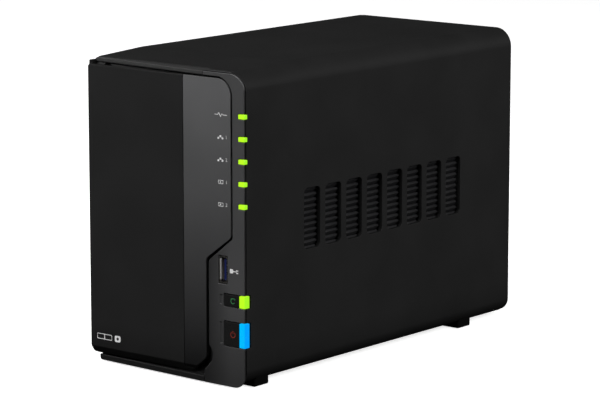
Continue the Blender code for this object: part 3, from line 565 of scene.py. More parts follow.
def glowing(name, colour, side_colour, strength):
    """Light guide lit from inside, a little deeper in colour on the side of the case."""
    tree, shader = new_look(name, shade(colour, 0.08), 0.25)
    faces = add_node(tree, "NewGeometry")
    parts = add_node(tree, "SeparateXYZ")
    link(faces.outputs["Normal"], parts.inputs["Vector"])
    milky = noise(tree, 2.5)
    lit = add_node(tree, "Math", {1: 0.25})
    lit.operation = "MULTIPLY_ADD"
    link(milky, lit.inputs[0])
    link(parts.outputs["X"], lit.inputs[2])
    link(tint(tree, lit.outputs["Value"], colour, side_colour, 0.2, 0.95), shader.inputs["Emission Color"])
    link(spread(tree, milky, 0.2, 0.35), shader.inputs["Roughness"])
    shader.inputs["Emission Strength"].default_value = strength


def trim_fade(tree):
    """Painted reflection: from the strip's mid grey at the top to near black at the bottom."""
    return rise(tree, "Z", *TRIM_Z, 0.05)


# Painted shade: darker toward the bottom, where the rounded underside turns away from the light.
def shell_fade(tree):
    return rise(tree, "Z", 0.0, 22.0, 0.4)


def cover_fade(tree):
    """Painted shade: darker toward the cover's foot, and dark on the lug above its top edge."""
    top = COVER_Z[1]
    return two_way(tree, "MULTIPLY", rise(tree, "Z", 6.0, 22.0, 0.5),
                   rise(tree, "Z", top + 0.2, top - 0.2, 0.1))


# Painted shade: darker toward the bottom, where the lower lip lies in the cover's shadow.
def bezel_fade(tree):
    return rise(tree, "Z", 8.0, 150.0, 0.2)


def column_fade(tree):
    """Painted shade: darker in the dip beside the cover, toward the bottom edge and round the corner of the
    case.
    """
    side = two_way(tree, "MAXIMUM", rise(tree, "X", 28.0, 44.0, 0.35), rise(tree, "Z", 78.0, 90.0, 0.0))
    front = two_way(tree, "MULTIPLY", side, rise(tree, "Z", 5.0, 45.0, 0.55))
    corner = COLUMN_X[1]
    return two_way(tree, "MULTIPLY", front, rise(tree, "X", corner - 0.02, corner - 0.35, 0.2))


def make_metal(name, colour, roughness, size, stretch, depth):
    """Bare metal with drawn or rolled marks and a patchy polish."""
    tree, shader = new_look(name, colour, roughness, metallic=1.0)
    marks = noise(tree, size, 3.0, stretch)
    patches = noise(tree, 9.0, 3.0)
    link(tint(tree, patches, shade(colour, 0.88), shade(colour, 1.06)), shader.inputs["Base Color"])
    link(spread(tree, marks, roughness - 0.08, roughness + 0.1), shader.inputs["Roughness"])
    relief(tree, shader, marks, depth)


def make_zinc_look():
    """Zinc-coated sheet with its crystal pattern."""
    tree, shader = new_look("sheet_steel", (0.5, 0.51, 0.53), 0.42, metallic=1.0)
    crystals = cells(tree, 7.0)
    link(tint(tree, crystals, (0.42, 0.43, 0.46), (0.58, 0.59, 0.6), 0.1, 0.8), shader.inputs["Base Color"])
    link(spread(tree, crystals, 0.34, 0.52, 0.1, 0.8), shader.inputs["Roughness"])
    relief(tree, shader, noise(tree, 1.2, 4.0), 0.006)


def make_board_look():
    """Solder mask over copper: broad darker pours, and fine lighter tracks."""
    tree, shader = new_look("circuit_board", (0.008, 0.05, 0.02), 0.3)
    tracks = cells(tree, 1.6, "DISTANCE_TO_EDGE")
    pours = noise(tree, 6.0, 1.0)
    lines = tint(tree, tracks, (0.014, 0.085, 0.032), (0.005, 0.04, 0.014), 0.04, 0.09)
    broad = tint(tree, pours, (0.55, 0.6, 0.55), (1.0, 1.0, 1.0), 0.45, 0.5)
    link(product(tree, lines, broad), shader.inputs["Base Color"])
    link(spread(tree, tracks, 0.25, 0.36, 0.0, 0.2), shader.inputs["Roughness"])
    relief(tree, shader, tracks, 0.02)


def make_ink(name, colour, painted_glow=0.0):
    """Pad-printed ink, thin and slightly uneven; where asked, a painted glow makes the ink give off its own
    colour.
    """
    tree, shader = new_look(name, colour, 0.5)
    patches = noise(tree, 0.4, 2.0)
    fill = tint(tree, patches, shade(colour, 0.85), colour)
    link(fill, shader.inputs["Base Color"])
    if painted_glow:
        link(fill, shader.inputs["Emission Color"])
        shader.inputs["Emission Strength"].default_value = painted_glow


def make_looks():
    # The shell, cover, column and bezel colours carry painted shade; the trim's colour carries a painted
    # reflection.
    moulded("shell_plastic", (0.0112, 0.0112, 0.0112), 0.6, 0.12, 0.45, 0.014, painted_light=shell_fade)
    moulded("cover_plastic", (0.0104, 0.0104, 0.0104), 0.6, 0.15, 0.4, 0.014, painted_light=cover_fade)
    moulded("trim_plastic", (0.098, 0.098, 0.1), 0.31, 0.4, 0.25, 0.003, 0.04, trim_fade)
    moulded("column_plastic", (0.05, 0.05, 0.051), 0.42, 0.35, 0.3, 0.006, 0.05, column_fade)
    moulded("bezel_plastic", (0.03, 0.03, 0.03), 0.45, 0.3, 0.35, 0.01, painted_light=bezel_fade)
    moulded("inner_plastic", (0.016, 0.016, 0.017), 0.45, 0.4, 0.5, 0.01)
    moulded("release_plastic", (0.1, 0.1, 0.104), 0.4, 0.5, 0.5, 0.01)
    moulded("button_plastic", (0.009, 0.009, 0.009), 0.3, 0.35, 0.25, 0.002, 0.05)
    moulded("rubber", (0.002, 0.002, 0.002), 0.85, 0.04, 0.7, 0.03, 0.2)
    moulded("connector_insert", (0.006, 0.011, 0.07), 0.4, 0.5, 0.4, 0.006)
    moulded("tin_plating", (0.3, 0.3, 0.3), 0.5, 0.5, 0.4, 0.006)
    moulded("chip_epoxy", (0.02, 0.02, 0.022), 0.5, 0.4, 0.25, 0.01)
    glowing("green_lens", (0.5, 0.97, 0.018), (0.36, 0.88, 0.02), 1.0)
    glowing("blue_lens", (0.0, 0.47, 0.97), (0.0, 0.33, 0.97), 1.0)
    make_zinc_look()
    make_metal("connector_metal", (0.66, 0.64, 0.6), 0.24, 0.3, (1.0, 0.08, 1.0), 0.002)
    make_metal("screw_steel", (0.5, 0.5, 0.52), 0.34, 0.25, (1.0, 1.0, 1.0), 0.003)
    make_metal("heatsink_metal", (0.06, 0.06, 0.065), 0.45, 0.3, (1.0, 1.0, 0.05), 0.006)
    make_metal("gold_contact", (0.85, 0.58, 0.22), 0.25, 0.2, (1.0, 0.2, 1.0), 0.001)
    make_board_look()
    make_ink("white_ink", (0.75, 0.75, 0.75))
    # The red and green inks carry a painted glow.
    make_ink("red_ink", (0.12, 0.012, 0.006), 0.35)
    make_ink("green_ink", (0.02, 0.12, 0.04), 0.3)


# Fitting pieces to the frame


def fit(piece, node, look):
    """Gives a piece its look and makes it move with the node's body."""
    piece.data.materials.clear()
    piece.data.materials.append(LOOKS[look])
    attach(piece, frame["nodes"][node]["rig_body"])
    return piece


def stand_for(piece, node, look):
    fit(piece, node, look)
    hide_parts(node)
    return piece


def refined(node, look, edge, extra=()):
    """A copy of the node's own solid, with its edges eased and any extra cutters applied."""
    bm = bmesh.new()
    bm.from_mesh(frame["nodes"][node].data)
    tidy(bm)
    piece = new_piece(node + "_finish", bm)
    cut(piece, *extra)
    return stand_for(ease(piece, edge), node, look)


def details(name, node, look, ranges, edge=0.15):
    """Small parts soldered, moulded or clipped onto a node, in one mesh."""
    return fit(ease(boxes(name, ranges), edge, 1), node, look)


# Outlines that several pieces share

def body_corners(inset):
    left = max(LEFT_RADIUS - inset, 0.6)
    return [(-SIDE + inset, CASE_Z[0] + inset, left),
            (SIDE - inset, CASE_Z[0] + inset, BOTTOM_RIGHT_RADIUS - inset),
            (SIDE - inset, TOP - inset, TOP_RIGHT_RADIUS - inset), (-SIDE + inset, TOP - inset, left)]


def lower_front(solid):
    """Lets the top of a solid fall gently over its last stretch to the front."""
    bm = bmesh.new()
    bm.from_mesh(solid.data)
    start = ROOF_FALL_Y[0] * MM
    base = (TOP - TOP_RIGHT_RADIUS) * MM
    rate = ROOF_FALL / (TOP_RIGHT_RADIUS * (ROOF_FALL_Y[0] - ROOF_FALL_Y[1]) * MM)
    bmesh.ops.bisect_plane(bm, geom=bm.verts[:] + bm.edges[:] + bm.faces[:], plane_co=(0.0, start, 0.0),
                           plane_no=(0.0, 1.0, 0.0))
    for vert in bm.verts:
        ahead = max(start - vert.co.y, 0.0)
        above = max(vert.co.z - base, 0.0)
        vert.co.z -= rate * ahead * above
    bm.to_mesh(solid.data)
    bm.free()
    return solid


def cover_corners(grow):
    right = COVER_RIGHT + grow
    waist = COVER_WAIST_X + grow
    left = PANEL_X[0] - grow
    bottom = COVER_Z[0] - grow
    top = COVER_Z[1] + grow
    return [(left, bottom, 1.5), (COVER_CHAMFER[0], bottom, 2.0), (waist, COVER_CHAMFER[1], 3.0),
            (waist, COVER_STEP[0], 3.0), (right, COVER_STEP[1], 3.0),
            (right, top, COVER_CORNER_RADIUS + grow), (left, top, 1.5)]


def slanted(ends, x):
    """Distance back of a face that comes forward evenly from the left side to the seam."""
    share = (x - BEZEL_X[0]) / (BEZEL_X[1] + GAP / 2 - BEZEL_X[0])
    return ends[0] + (ends[1] - ends[0]) * share


def slanted_cutter(name, ends, z):
    """Everything in front of a slanted face, between two heights."""
    left = -SIDE - 4
    right = BEZEL_X[1] + 4
    outline = [(left, FRONT - 1), (right, FRONT - 1), (right, slanted(ends, right)),
               (left, slanted(ends, left))]
    return prism(name, [outline], *z, axis="Z")


# Case

def keep_fold(mesh):
    """Keeps each side of the roof's fold shaded by its own slope."""
    for edge in mesh.edges:
        ends = [mesh.vertices[index].co.y / MM for index in edge.vertices]
        if all(abs(y - ROOF_FALL_Y[0]) < 0.01 for y in ends):
            edge.use_edge_sharp = True


def make_case_shell():
    shell = lower_front(prism("case_shell", [rounded(body_corners(0.0)), rounded(body_corners(WALL))],
                              *CASE_Y))
    beyond = FRONT - 2
    openings = block("cover_openings", (-43.9, 43.9), (beyond, REAR), (CASE_Z[0] - 1, CASE_Z[0] + 3.0))
    set_back = block("cover_set_back", (-SIDE - 1, BEZEL_X[1] + 0.15), (beyond, BEZEL_FLANGE_REAR + GAP),
                     (CASE_Z[0] - 1, TOP + 1))
    band_room = block("cover_band_room", (BEZEL_X[1] - 1, BAND_END_X + GAP),
                      (beyond, COLUMN_BAND_REAR + GAP), (TOP - 8, TOP + 1))
    room = LENS_HALF_HEIGHT + GAP
    wall = (SIDE - WALL - 1, SIDE + 1)
    notches = [(wall, (beyond, LENS_SIDE_END + GAP), around(z, room)) for z in LENS_HEIGHTS]
    notches += [(wall, (beyond, BUTTON_ROOM_END), (low - GAP, high + GAP))
                for low, high in BUTTONS.values()]
    windows = []
    for index in range(VENT_COUNT):
        y = (index - (VENT_COUNT - 1) / 2) * VENT_PITCH
        windows.append(rectangle(around(y, VENT_WINDOW[0] / 2), around(VENT_CENTRE_Z, VENT_WINDOW[1] / 2),
                                 VENT_CORNER))
    cut(shell, openings, set_back, band_room, boxes("cover_notches", notches),
        prism("cover_windows", windows, -SIDE - 1, SIDE + 1, axis="X"))
    ease(shell, 0.35)
    keep_fold(shell.data)
    stand_for(shell, "outer_cover", "shell_plastic")


def make_vent(node):
    """Slatted insert behind the windows of one side, its slats tilted to shed dust."""
    x, y, z = span(node)
    outward = 1 if x[1] > 0 else -1
    border = VENT_FRAME_BORDER
    frame_plate = block(node + "_frame", x, y, z)
    room = block(node + "_room", wider(x, 1), wider(y, -border),
                 around(VENT_CENTRE_Z, VENT_FRAME_HALF_HEIGHT))
    stand_for(ease(cut(frame_plate, room), 0.2), node, "inner_plastic")
    bm = bmesh.new()
    tilt = Matrix.Rotation(radians(-SLAT_TILT * outward), 4, "Y")
    depth = (x[1] - x[0] + 0.4) / cos(radians(SLAT_TILT)) - 2 * SLAT_HALF_HEIGHT
    middle = sum(x) / 2
    for row in range(SLAT_ROWS + 1):
        height = VENT_CENTRE_Z + (row - SLAT_ROWS / 2) * SLAT_PITCH
        add_box(bm, (middle - depth / 2, middle + depth / 2), (y[0] + border - 0.5, y[1] - border + 0.5),
                around(height, SLAT_HALF_HEIGHT), tilt)
    fit(ease(new_piece(node + "_slats", bm), 0.1), node, "inner_plastic")
    posts = []
    for index in range(1, VENT_COUNT):
        middle = (index - VENT_COUNT / 2) * VENT_PITCH
        posts.append((wider(x, -0.2), around(middle, 1.2), wider(z, -1)))
    details(node + "_posts", node, "inner_plastic", posts, 0.2)


def make_base():
    refined("base_pan", "sheet_steel", 0.15)
    for number in range(1, 5):
        node = f"foot_{number}"
        x, y, _ = span(node)
        grooves = [(wider(x, -2.5), (y[0] + step, y[0] + step + 0.9), (-0.4, 0.35))
                   for step in (2.6, 5.3, 8.0)]
        refined(node, "rubber", 0.35, [boxes(node + "_grooves", grooves)])


# Front

def make_bezel():
    """Frame round the bays: lips above and below come further forward than the face between."""
    right = BEZEL_X[1]
    flange = [(SKIRT_LEFT, BEZEL_Z[0], 1.5), (right, BEZEL_Z[0], 0), (right, TOP - GAP, 0),
              (BEZEL_X[0], TOP - GAP, LEFT_RADIUS), (BEZEL_X[0], SKIRT_STEP_Z, 1.5),
              (SKIRT_LEFT, SKIRT_STEP_Z, 0)]
    low, high = PLUG_Z
    plug = [(-PLUG_SIDE, low, 1.0), (right, low, 0), (right, high, 0), (-PLUG_SIDE, high, 1.0)]
    bezel = lower_front(prism("bezel_moulding", [rounded(flange)], BEZEL_LIP_FRONT[1] - 0.3,
                              BEZEL_FLANGE_REAR))
    join(bezel, lower_front(prism("bezel_plug", [rounded(plug)], BEZEL_FLANGE_REAR - 0.5, PLUG_REAR)))
    bays = prism("bezel_bays", [rectangle(BAYS_X, BAYS_Z, 2.0)], FRONT, PLUG_REAR + 1)
    holes = rods("bezel_holes", POST_PLACES, GROMMET_RADIUS + GAP, FRONT, PLUG_REAR + 1)
    behind_cover = wider(COVER_Z, COVER_CLEARANCE)
    cut(bezel, slanted_cutter("bezel_lip_face", BEZEL_LIP_FRONT, (TOP - 9, TOP + 4)),
        slanted_cutter("bezel_skirt_face", BEZEL_SKIRT_FRONT, (0.0, 9.0)),
        slanted_cutter("bezel_face", BEZEL_FRONT, behind_cover), bays, holes)
    stand_for(ease(bezel, 0.4, 3), "front_bezel", "bezel_plastic")


def make_grommets():
    for number, centre in enumerate(POST_PLACES, 1):
        node = f"cover_grommet_{number}"
        y = span(node)[1]
        inner = POST_RADIUS + GAP
        outer = GROMMET_RADIUS
        lip = 0.6
        profile = [(inner, y[0] + lip), (inner + lip, y[0]), (outer - lip, y[0]), (outer, y[0] + lip),
                   (outer, y[1] - lip), (outer - lip, y[1]), (inner + lip, y[1]), (inner, y[1] - lip)]
        stand_for(ease(turned(node + "_ring", centre, profile), 0.0), node, "rubber")


def column_corners(inset, bottom):
    right = COLUMN_X[1] - inset
    top = TOP - GAP - inset
    left = COLUMN_X[0] + inset * STAGGER
    return [(left, bottom, 0), (right, bottom, BOTTOM_RIGHT_RADIUS - GAP - inset),
            (right, top, TOP_RIGHT_RADIUS - GAP - inset), (left, top, 0)]


def cover_room():
    """Space left of the column's raised face, with a finger scoop low down."""
    left = COLUMN_X[0] - 5
    waist = COVER_WAIST_X + WAIST_CLEARANCE
    right = COVER_RIGHT + COVER_CLEARANCE
    top = COVER_Z[1] + COVER_CLEARANCE
    outline = rounded([(left, 1.8, 0), (31.5, 13.0, 3.0), (SCOOP_RIGHT, 17.6, 2.0), (waist, 21.0, 2.0),
                       (waist, COVER_STEP[0] - 1.0, 3.0), (right, COVER_STEP[1] - 0.5, 3.0),
                       (right, top, COVER_CORNER_RADIUS + COVER_CLEARANCE), (left, top, 0)])
    return prism("column_cover_room", [outline], FRONT - 1, COLUMN_RECESS)


def column_openings():
    room = LENS_HALF_HEIGHT + GAP
    beyond = (FRONT - 1, PLUG_REAR + 1)
    cuts = [((span("indicator_lens_1")[0][0] - GAP, SIDE + 1), beyond, around(z, room))
            for z in LENS_HEIGHTS]
    cuts += [((BUTTON_X[0] - GAP, SIDE + 1), (FRONT - 1, BUTTON_ROOM_END), wider(z, GAP))
             for z in BUTTONS.values()]
    x, _, z = span("usb_front_shell")
    cuts.append((wider(x, GAP), beyond, wider(z, GAP)))
    return boxes("column_openings", cuts)


def finger_scoops():
    """Shallow cylindrical dips in the column just left of the two buttons."""
    radius = 1.6
    depth = 0.35
    x = BUTTON_X[0] - GAP - radius - 0.1
    centre = (x, COLUMN_Y[0] - radius + depth)
    return [rods(f"column_scoop_{name}", [centre], radius, *wider(z, -0.6), axis="Z")
            for name, z in BUTTONS.items()]


def make_column():
    low, high = PLUG_Z
    edge = PLUG_SIDE - 0.1
    inset = COLUMN_X[1] - PLUG_SIDE - 0.1
    column = lower_front(prism("column_moulding", [rounded(column_corners(0.0, COLUMN_Z[0]))], COLUMN_Y[0],
                               COLUMN_FLANGE_REAR))
    raised = lower_front(prism("column_raised", [rounded(column_corners(inset, low + 0.1))],
                               COLUMN_FLANGE_REAR - 0.4, COLUMN_RECESS + 0.4))
    core_outline = rounded([(COLUMN_X[0], low, 0), (edge, low, BOTTOM_RIGHT_RADIUS - WALL - PLUG_GAP),
                            (edge, high, TOP_RIGHT_RADIUS - WALL - PLUG_GAP), (COLUMN_X[0], high, 0)])
    core = lower_front(prism("column_core", [core_outline], COLUMN_RECESS - 0.7, PLUG_REAR))
    band = lower_front(block("column_band", (COLUMN_X[0] + 0.1, BAND_END_X),
                             (COLUMN_Y[0] + 0.1, COLUMN_BAND_REAR), (156.0, TOP - GAP - 0.1)))
    join(column, raised, core, band)
    inner = PLUG_SIDE - COLUMN_WALL
    bottom = low + COLUMN_WALL
    top = high - COLUMN_WALL - ROOF_FALL
    step = COVER_RIGHT + COVER_CLEARANCE + COLUMN_WALL
    waist = COVER_WAIST_X + WAIST_CLEARANCE + COLUMN_WALL
    scoop = SCOOP_RIGHT + COLUMN_WALL
    outline = rounded([(scoop, bottom + 0.2, 0), (inner - 0.2, bottom + 0.2, 3.0),
                       (inner - 0.2, top - 0.2, 1.5), (step, top - 0.2, 0),
                       (step, COVER_STEP[1] - 1.5, 2.0), (waist, COVER_STEP[0] - 2.0, 2.0),
                       (waist, 24.0, 0), (scoop, 22.0, 0)])
    front_room = prism("column_front_room", [outline], COLUMN_Y[0] + COLUMN_WALL, PLUG_REAR - 1)
    room = rectangle((COLUMN_X[0] + COLUMN_WALL, inner), (bottom, top), 4.0)
    rear_room = prism("column_rear_room", [room], COLUMN_RECESS + COLUMN_WALL, PLUG_REAR + 1)
    cut(column, cover_room(), front_room, rear_room, column_openings(), *finger_scoops())
    stand_for(ease(column, 0.35, 3), "control_column", "column_plastic")


def wrapped(name, x, side_end, z, skin):
    """Corner piece: a front leg and a side leg round the case's edge."""
    corner = 0.5
    outline = rounded([(x[0], FRONT, 0), (x[1], FRONT, corner), (x[1], side_end, 0),
                       (x[1] - skin, side_end, 0), (x[1] - skin, FRONT + skin + 0.2, 0),
                       (x[0], FRONT + skin + 0.2, 0)], 0.25)
    return prism(name, [outline], *z, axis="Z")


def make_lenses():
    for number, height in enumerate(LENS_HEIGHTS, 1):
        node = f"indicator_lens_{number}"
        x, y, z = span(node)
        lens = wrapped(node + "_guide", x, LENS_SIDE_END, z, 1.4)
        join(lens, block(node + "_stem", (x[0] + 0.2, x[0] + 1.2), (FRONT + 1, y[1]), around(height, 0.8)))
        stand_for(ease(lens, 0.15), node, "green_lens")


def make_buttons():
    for name, look in (("power", "blue_lens"), ("copy", "green_lens")):
        x, y, z = span(f"{name}_button_cap")
        cap = prism(f"{name}_cap_face", [rectangle(x, z, 0.5, 0.3)], FRONT, FRONT + CAP_DEPTH)
        pusher = block(f"{name}_pusher", around(sum(x) / 2, 2), (FRONT + CAP_DEPTH - 0.5, y[1]),
                       around(sum(z) / 2, 1.8))
        join(cap, pusher)
        stand_for(ease(cap, 0.25), f"{name}_button_cap", "button_plastic")
        bar_x, bar_y, bar_z = span(f"{name}_light_bar")
        bar = wrapped(f"{name}_bar_guide", bar_x, bar_y[1], bar_z, 1.7)
        stand_for(ease(bar, 0.2), f"{name}_light_bar", look)


def usb_sleeve(side):
    """Formed metal sleeve of a USB port, open at both ends."""
    x, y, z = span(f"usb_{side}_shell")
    inside = rectangle(wider(x, -USB_WALL), wider(z, -USB_WALL), 0.3, 0.3)
    return prism(f"usb_{side}_sleeve", [rectangle(x, z, 0.5, 0.3), inside], *y)


def make_front_usb():
    x, y, z = span("usb_front_shell")
    springs = [(wider(x, 1), (y[0] + 3.0, y[0] + 8.0), (z[0] + at, z[0] + at + 1.6)) for at in (3.4, 9.0)]
    shell = cut(usb_sleeve("front"), boxes("usb_front_springs", springs))
    stand_for(ease(shell, 0.12), "usb_front_shell", "connector_metal")
    refined("usb_front_tongue", "connector_insert", 0.15)
    tongue_left = x[1] - 2.9
    pads = [((tongue_left - 0.12, tongue_left + 0.05), (y[0] + 1.8, y[1] - 5.0),
             around(z[0] + 3.6 + index * USB_PAD_PITCH, 0.5)) for index in range(4)]
    details("usb_front_contacts", "usb_front_tongue", "gold_contact", pads, 0.04)
    inner = x[0] + USB_WALL
    details("usb_front_ground_spring", "usb_front_shell", "tin_plating",
            [((inner - 0.02, inner + 0.7), (y[0] + 0.2, y[1] - 5.5), (z[0] + 1.8, z[1] - 1.4))])


def make_control_board():
    refined("control_board", "circuit_board", 0.1)
    rear = FRONT_BOARD[1][1]
    chips = [((34.0, 42.0), (rear - 0.1, rear + 1.1), (84.0, 92.0)),
             ((33.0, 38.0), (rear - 0.1, rear + 0.9), (110.0, 114.0)),
             ((43.0, 48.0), (rear - 0.1, rear + 0.9), (124.0, 128.0))]
    details("control_board_chips", "control_board", "chip_epoxy", chips)
    pads = [((36.0 + column * 2.0, 37.0 + column * 2.0), (rear - 0.05, rear + 0.5), (138.0, 141.0))
            for column in range(6)]
    details("control_board_header", "control_board", "gold_contact", pads, 0.08)


# Pull-off front cover

def make_cover_panel():
    behind = BEZEL_FRONT[0] + 1
    panel = prism("cover_panel", [rounded(cover_corners(0.0))], FRONT, behind)
    left = -SIDE - 1
    right = SIDE + 1
    slope = [(x, slanted(BEZEL_FRONT, x) - 0.4) for x in (left, right)]
    slope += [(right, behind + 1), (left, behind + 1)]
    slant = prism("panel_slant", [slope], 0.0, TOP, axis="Z")
    hollow = prism("panel_hollow", [rounded(cover_corners(-COVER_SHELL))], FRONT + COVER_SHELL, behind + 1)
    open_top = block("panel_open_top", (PANEL_X[0] + 2.2, COVER_RIGHT - COVER_CORNER_RADIUS),
                     (FRONT + COVER_SHELL, behind + 1), (COVER_Z[1] - COVER_SHELL - 1, COVER_Z[1] + 1))
    corner_lug = block("panel_corner_lug", (PANEL_X[0] + 0.3, PANEL_X[0] + 2.3),
                       (FRONT + 0.8, COVER_LUG_REAR), (COVER_Z[1] - 3, COVER_Z[1] + COVER_LUG_RISE))
    trim_room = block("panel_trim_room", (TRIM_X[0] - GAP, SIDE), (FRONT - 1, FRONT + TRIM_ROOM),
                      (0.0, TOP))
    posts = rods("panel_posts", POST_PLACES, POST_RADIUS, FRONT + COVER_SHELL - 0.5, PANEL_Y[1])
    ribs = [(around(a, 0.6), (FRONT + COVER_SHELL - 0.4, FRONT + 3.8), (9.0, 157.0)) for a in COVER_RIBS_X]
    ribs += [((-51.5, 25.0), (FRONT + COVER_SHELL - 0.4, FRONT + 3.7), around(b, 0.6))
             for b in COVER_RIBS_Z]
    rib_bars = [boxes(f"panel_rib_{number}", [rib]) for number, rib in enumerate(ribs)]
    join(cut(panel, slant, hollow, open_top, cover_lower_bevel(), trim_room), corner_lug, posts, *rib_bars)
    stand_for(ease(panel, 0.45, 3), "front_cover_panel", "cover_plastic")


def cover_lower_bevel():
    outline = [(FRONT - 1, COVER_Z[0] - 1), (FRONT - 1, COVER_Z[0] + 5.5), (FRONT + 3.2, COVER_Z[0] - 1)]
    return prism("panel_lower_bevel", [outline], -SIDE - 1, SIDE + 1, axis="X")


def make_cover_trim():
    corners = [(TRIM_X[0], COVER_Z[0], 0)] + cover_corners(0.0)[1:-1] + [(TRIM_X[0], COVER_Z[1], 0)]
    trim = prism("cover_trim", [rounded(corners)], *TRIM_Y)
    stand_for(ease(cut(trim, cover_lower_bevel()), 0.2), "front_cover_trim", "trim_plastic")


# Printed marks. Each lies on a face that looks to the front.

MARK_PROUD = 0.03
MARK_ROOT = 0.12


def mark(name, node, look, loops, face):
    piece = prism(name, loops, face - MARK_PROUD, face + MARK_ROOT)
    return fit(ease(piece, 0.0), node, look)


def moved(loop, a, b):
    return [(x + a, z + b) for x, z in loop]


def numeral(name, node, look, text, size, centre, face):
    """A digit standing on a face that looks to the front."""
    letters = bpy.data.curves.new(name, "FONT")
    letters.body = text
    letters.size = size * MM
    letters.extrude = (MARK_PROUD + MARK_ROOT) / 2 * MM
    letters.align_x = "CENTER"
    letters.align_y = "CENTER"
    mesh = mesh_of(bpy.data.objects.new(name + "_text", letters))
    spot = Vector((centre[0], face + (MARK_ROOT - MARK_PROUD) / 2, centre[1])) * MM
    mesh.transform(Matrix.Translation(spot) @ OUTLINE_TURNS["Y"])
    bm = bmesh.new()
    bm.from_mesh(mesh)
    bmesh.ops.remove_doubles(bm, verts=bm.verts, dist=1e-7)
    return fit(ease(new_piece(name, bm), 0.0), node, look)


def make_indicator_marks():
    """Status pulse, two network links and two disks, each beside its light."""
    line = 0.3
    right = COVER_RIGHT - 1.8
    pulse = [(-8.6, 0.0), (-6.6, 0.0), (-5.8, 0.95), (-4.6, -0.95), (-3.8, 0.5), (-3.0, 0.0), (-0.4, 0.0)]
    mark("status_mark", "front_cover_trim", "white_ink",
         [moved(stroke(pulse, line), right, LENS_HEIGHTS[0])], FRONT)
    link_mark = [rectangle(around(a, 0.55), (-0.95, -0.1)) for a in (-6.2, -3.4)]
    link_mark.append(rectangle((-5.35, -4.25), (0.15, 0.95)))
    link_mark.append(stroke([(-6.2, -0.1), (-6.2, 0.05), (-3.4, 0.05), (-3.4, -0.1)], 0.18))
    disk_mark = [rectangle((-6.4, -3.0), (-0.95, 0.95), 0.3, 0.2),
                 rectangle((-6.15, -3.25), (-0.7, 0.7), 0.15, 0.2), ring((-4.9, 0.0), 0.38, 16)]
    signs = [(name, loops, number) for name, loops in (("network", link_mark), ("disk", disk_mark))
             for number in (1, 2)]
    for (name, loops, number), height in zip(signs, LENS_HEIGHTS[1:]):
        mark(f"{name}_mark_{number}", "front_cover_trim", "white_ink",
             [moved(loop, right, height) for loop in loops], FRONT)
        numeral(f"{name}_number_{number}", "front_cover_trim", "white_ink", str(number), 2.3,
                (right - 0.9, height), FRONT)


def make_cover_mark():
    """Two-bay glyph and a plain rounded badge near the cover's lower left corner."""
    bays = [rectangle((-48.8, -38.2), (13.2, 16.2), 0.5, 0.3)]
    bays += [rectangle((start, start + 4.75), (13.5, 15.9), 0.3, 0.3) for start in (-48.5, -43.25)]
    mark("two_bay_mark", "front_cover_panel", "white_ink", bays, FRONT)
    badge = [rectangle((-36.2, -32.1), (13.0, 16.4), 0.9, 0.3), ring((-34.15, 14.7), 0.85, 20)]
    mark("badge_mark", "front_cover_panel", "white_ink", badge, FRONT)


def make_column_marks():
    """A plug beside the port, a turning arrow on one button and a power symbol on the other."""
    middle = sum(span("usb_front_shell")[2]) / 2
    plug = [rectangle((-3.3, -1.2), (-1.1, 1.1), 0.4, 0.2), stroke([(-1.2, 0.0), (1.2, 0.0)], 0.5),
            rectangle((1.2, 2.2), (0.35, 0.9)), rectangle((1.2, 2.2), (-0.9, -0.35)),
            rectangle((0.9, 1.3), (-0.95, 0.95))]
    for number, loop in enumerate(plug):
        mark(f"port_mark_{number}", "control_column", "white_ink", [moved(loop, 47.2, middle)], COLUMN_Y[0])
    across = sum(BUTTON_X) / 2 + 1.0
    centre = (across, sum(BUTTONS["copy"]) / 2)
    mark("copy_arc", "copy_button_cap", "green_ink", [stroke(arc(centre, 1.35, 60.0, 330.0), 0.45)], FRONT)
    head = [(0.75, 1.15), (1.75, 1.2), (1.15, 0.3)]
    mark("copy_arrow", "copy_button_cap", "green_ink", [moved(head, *centre)], FRONT)
    centre = (across, sum(BUTTONS["power"]) / 2)
    mark("power_arc", "power_button_cap", "red_ink", [stroke(arc(centre, 1.5, 125.0, 415.0), 0.5)], FRONT)
    mark("power_line", "power_button_cap", "red_ink",
         [rectangle(around(centre[0], 0.25), (centre[1] + 0.5, centre[1] + 2.0))], FRONT)


# Drive bays

def make_bays():
    refined("drive_cage", "sheet_steel", 0.12)
    for number in (1, 2):
        tray = f"drive_tray_{number}"
        x, y, _ = span(tray)
        centre = sum(x) / 2
        refined(tray, "inner_plastic", 0.3)
        vents = [(around(centre, 9), (y[0] + 1.55, y[0] + 1.75), (at, at + 1.2)) for at in range(36, 46, 3)]
        details(f"tray_ribs_{number}", tray, "inner_plastic", vents, 0.05)
        for side in ("lower", "upper"):
            refined(f"tray_rail_{number}_{side}", "inner_plastic", 0.25)
        handle = f"tray_handle_{number}"
        refined(handle, "inner_plastic", 0.45)
        face = span(handle)[1][0]
        numeral(f"bay_number_{number}", handle, "white_ink", str(number), 7.0, (centre, 84.0), face)
        release = f"tray_release_{number}"
        x, y, z = span(release)
        grip = [(wider(x, -2), (y[0] - 0.25, y[0] + 0.3), (z[0] + at, z[0] + at + 0.8))
                for at in (3.0, 5.0, 7.0)]
        refined(release, "release_plastic", 0.4)
        details(f"release_grip_{number}", release, "release_plastic", grip, 0.2)


def make_backplane():
    refined("backplane", "circuit_board", 0.1)
    face = BACK_BOARD[1][0]
    parts = [((centre - 6, centre - 1), (face - 1.2, face + 0.1), (60.0 + at, 64.0 + at))
             for centre in (-31.5, 4.5) for at in (0.0, 8.0, 16.0)]
    details("backplane_chips", "backplane", "chip_epoxy", parts)
    for number in (1, 2):
        node = f"sata_connector_{number}"
        x, y, _ = span(node)
        refined(node, "inner_plastic", 0.2)
        middle = sum(x) / 2
        pins = [((middle + 0.75, middle + 1.25), (y[0] + 0.6, y[0] + 3.2),
                 (low + index * PIN_PITCH, low + index * PIN_PITCH + 0.7)) for low, count in PIN_ROWS
                for index in range(count)]
        details(f"sata_pins_{number}", node, "gold_contact", pins, 0.05)


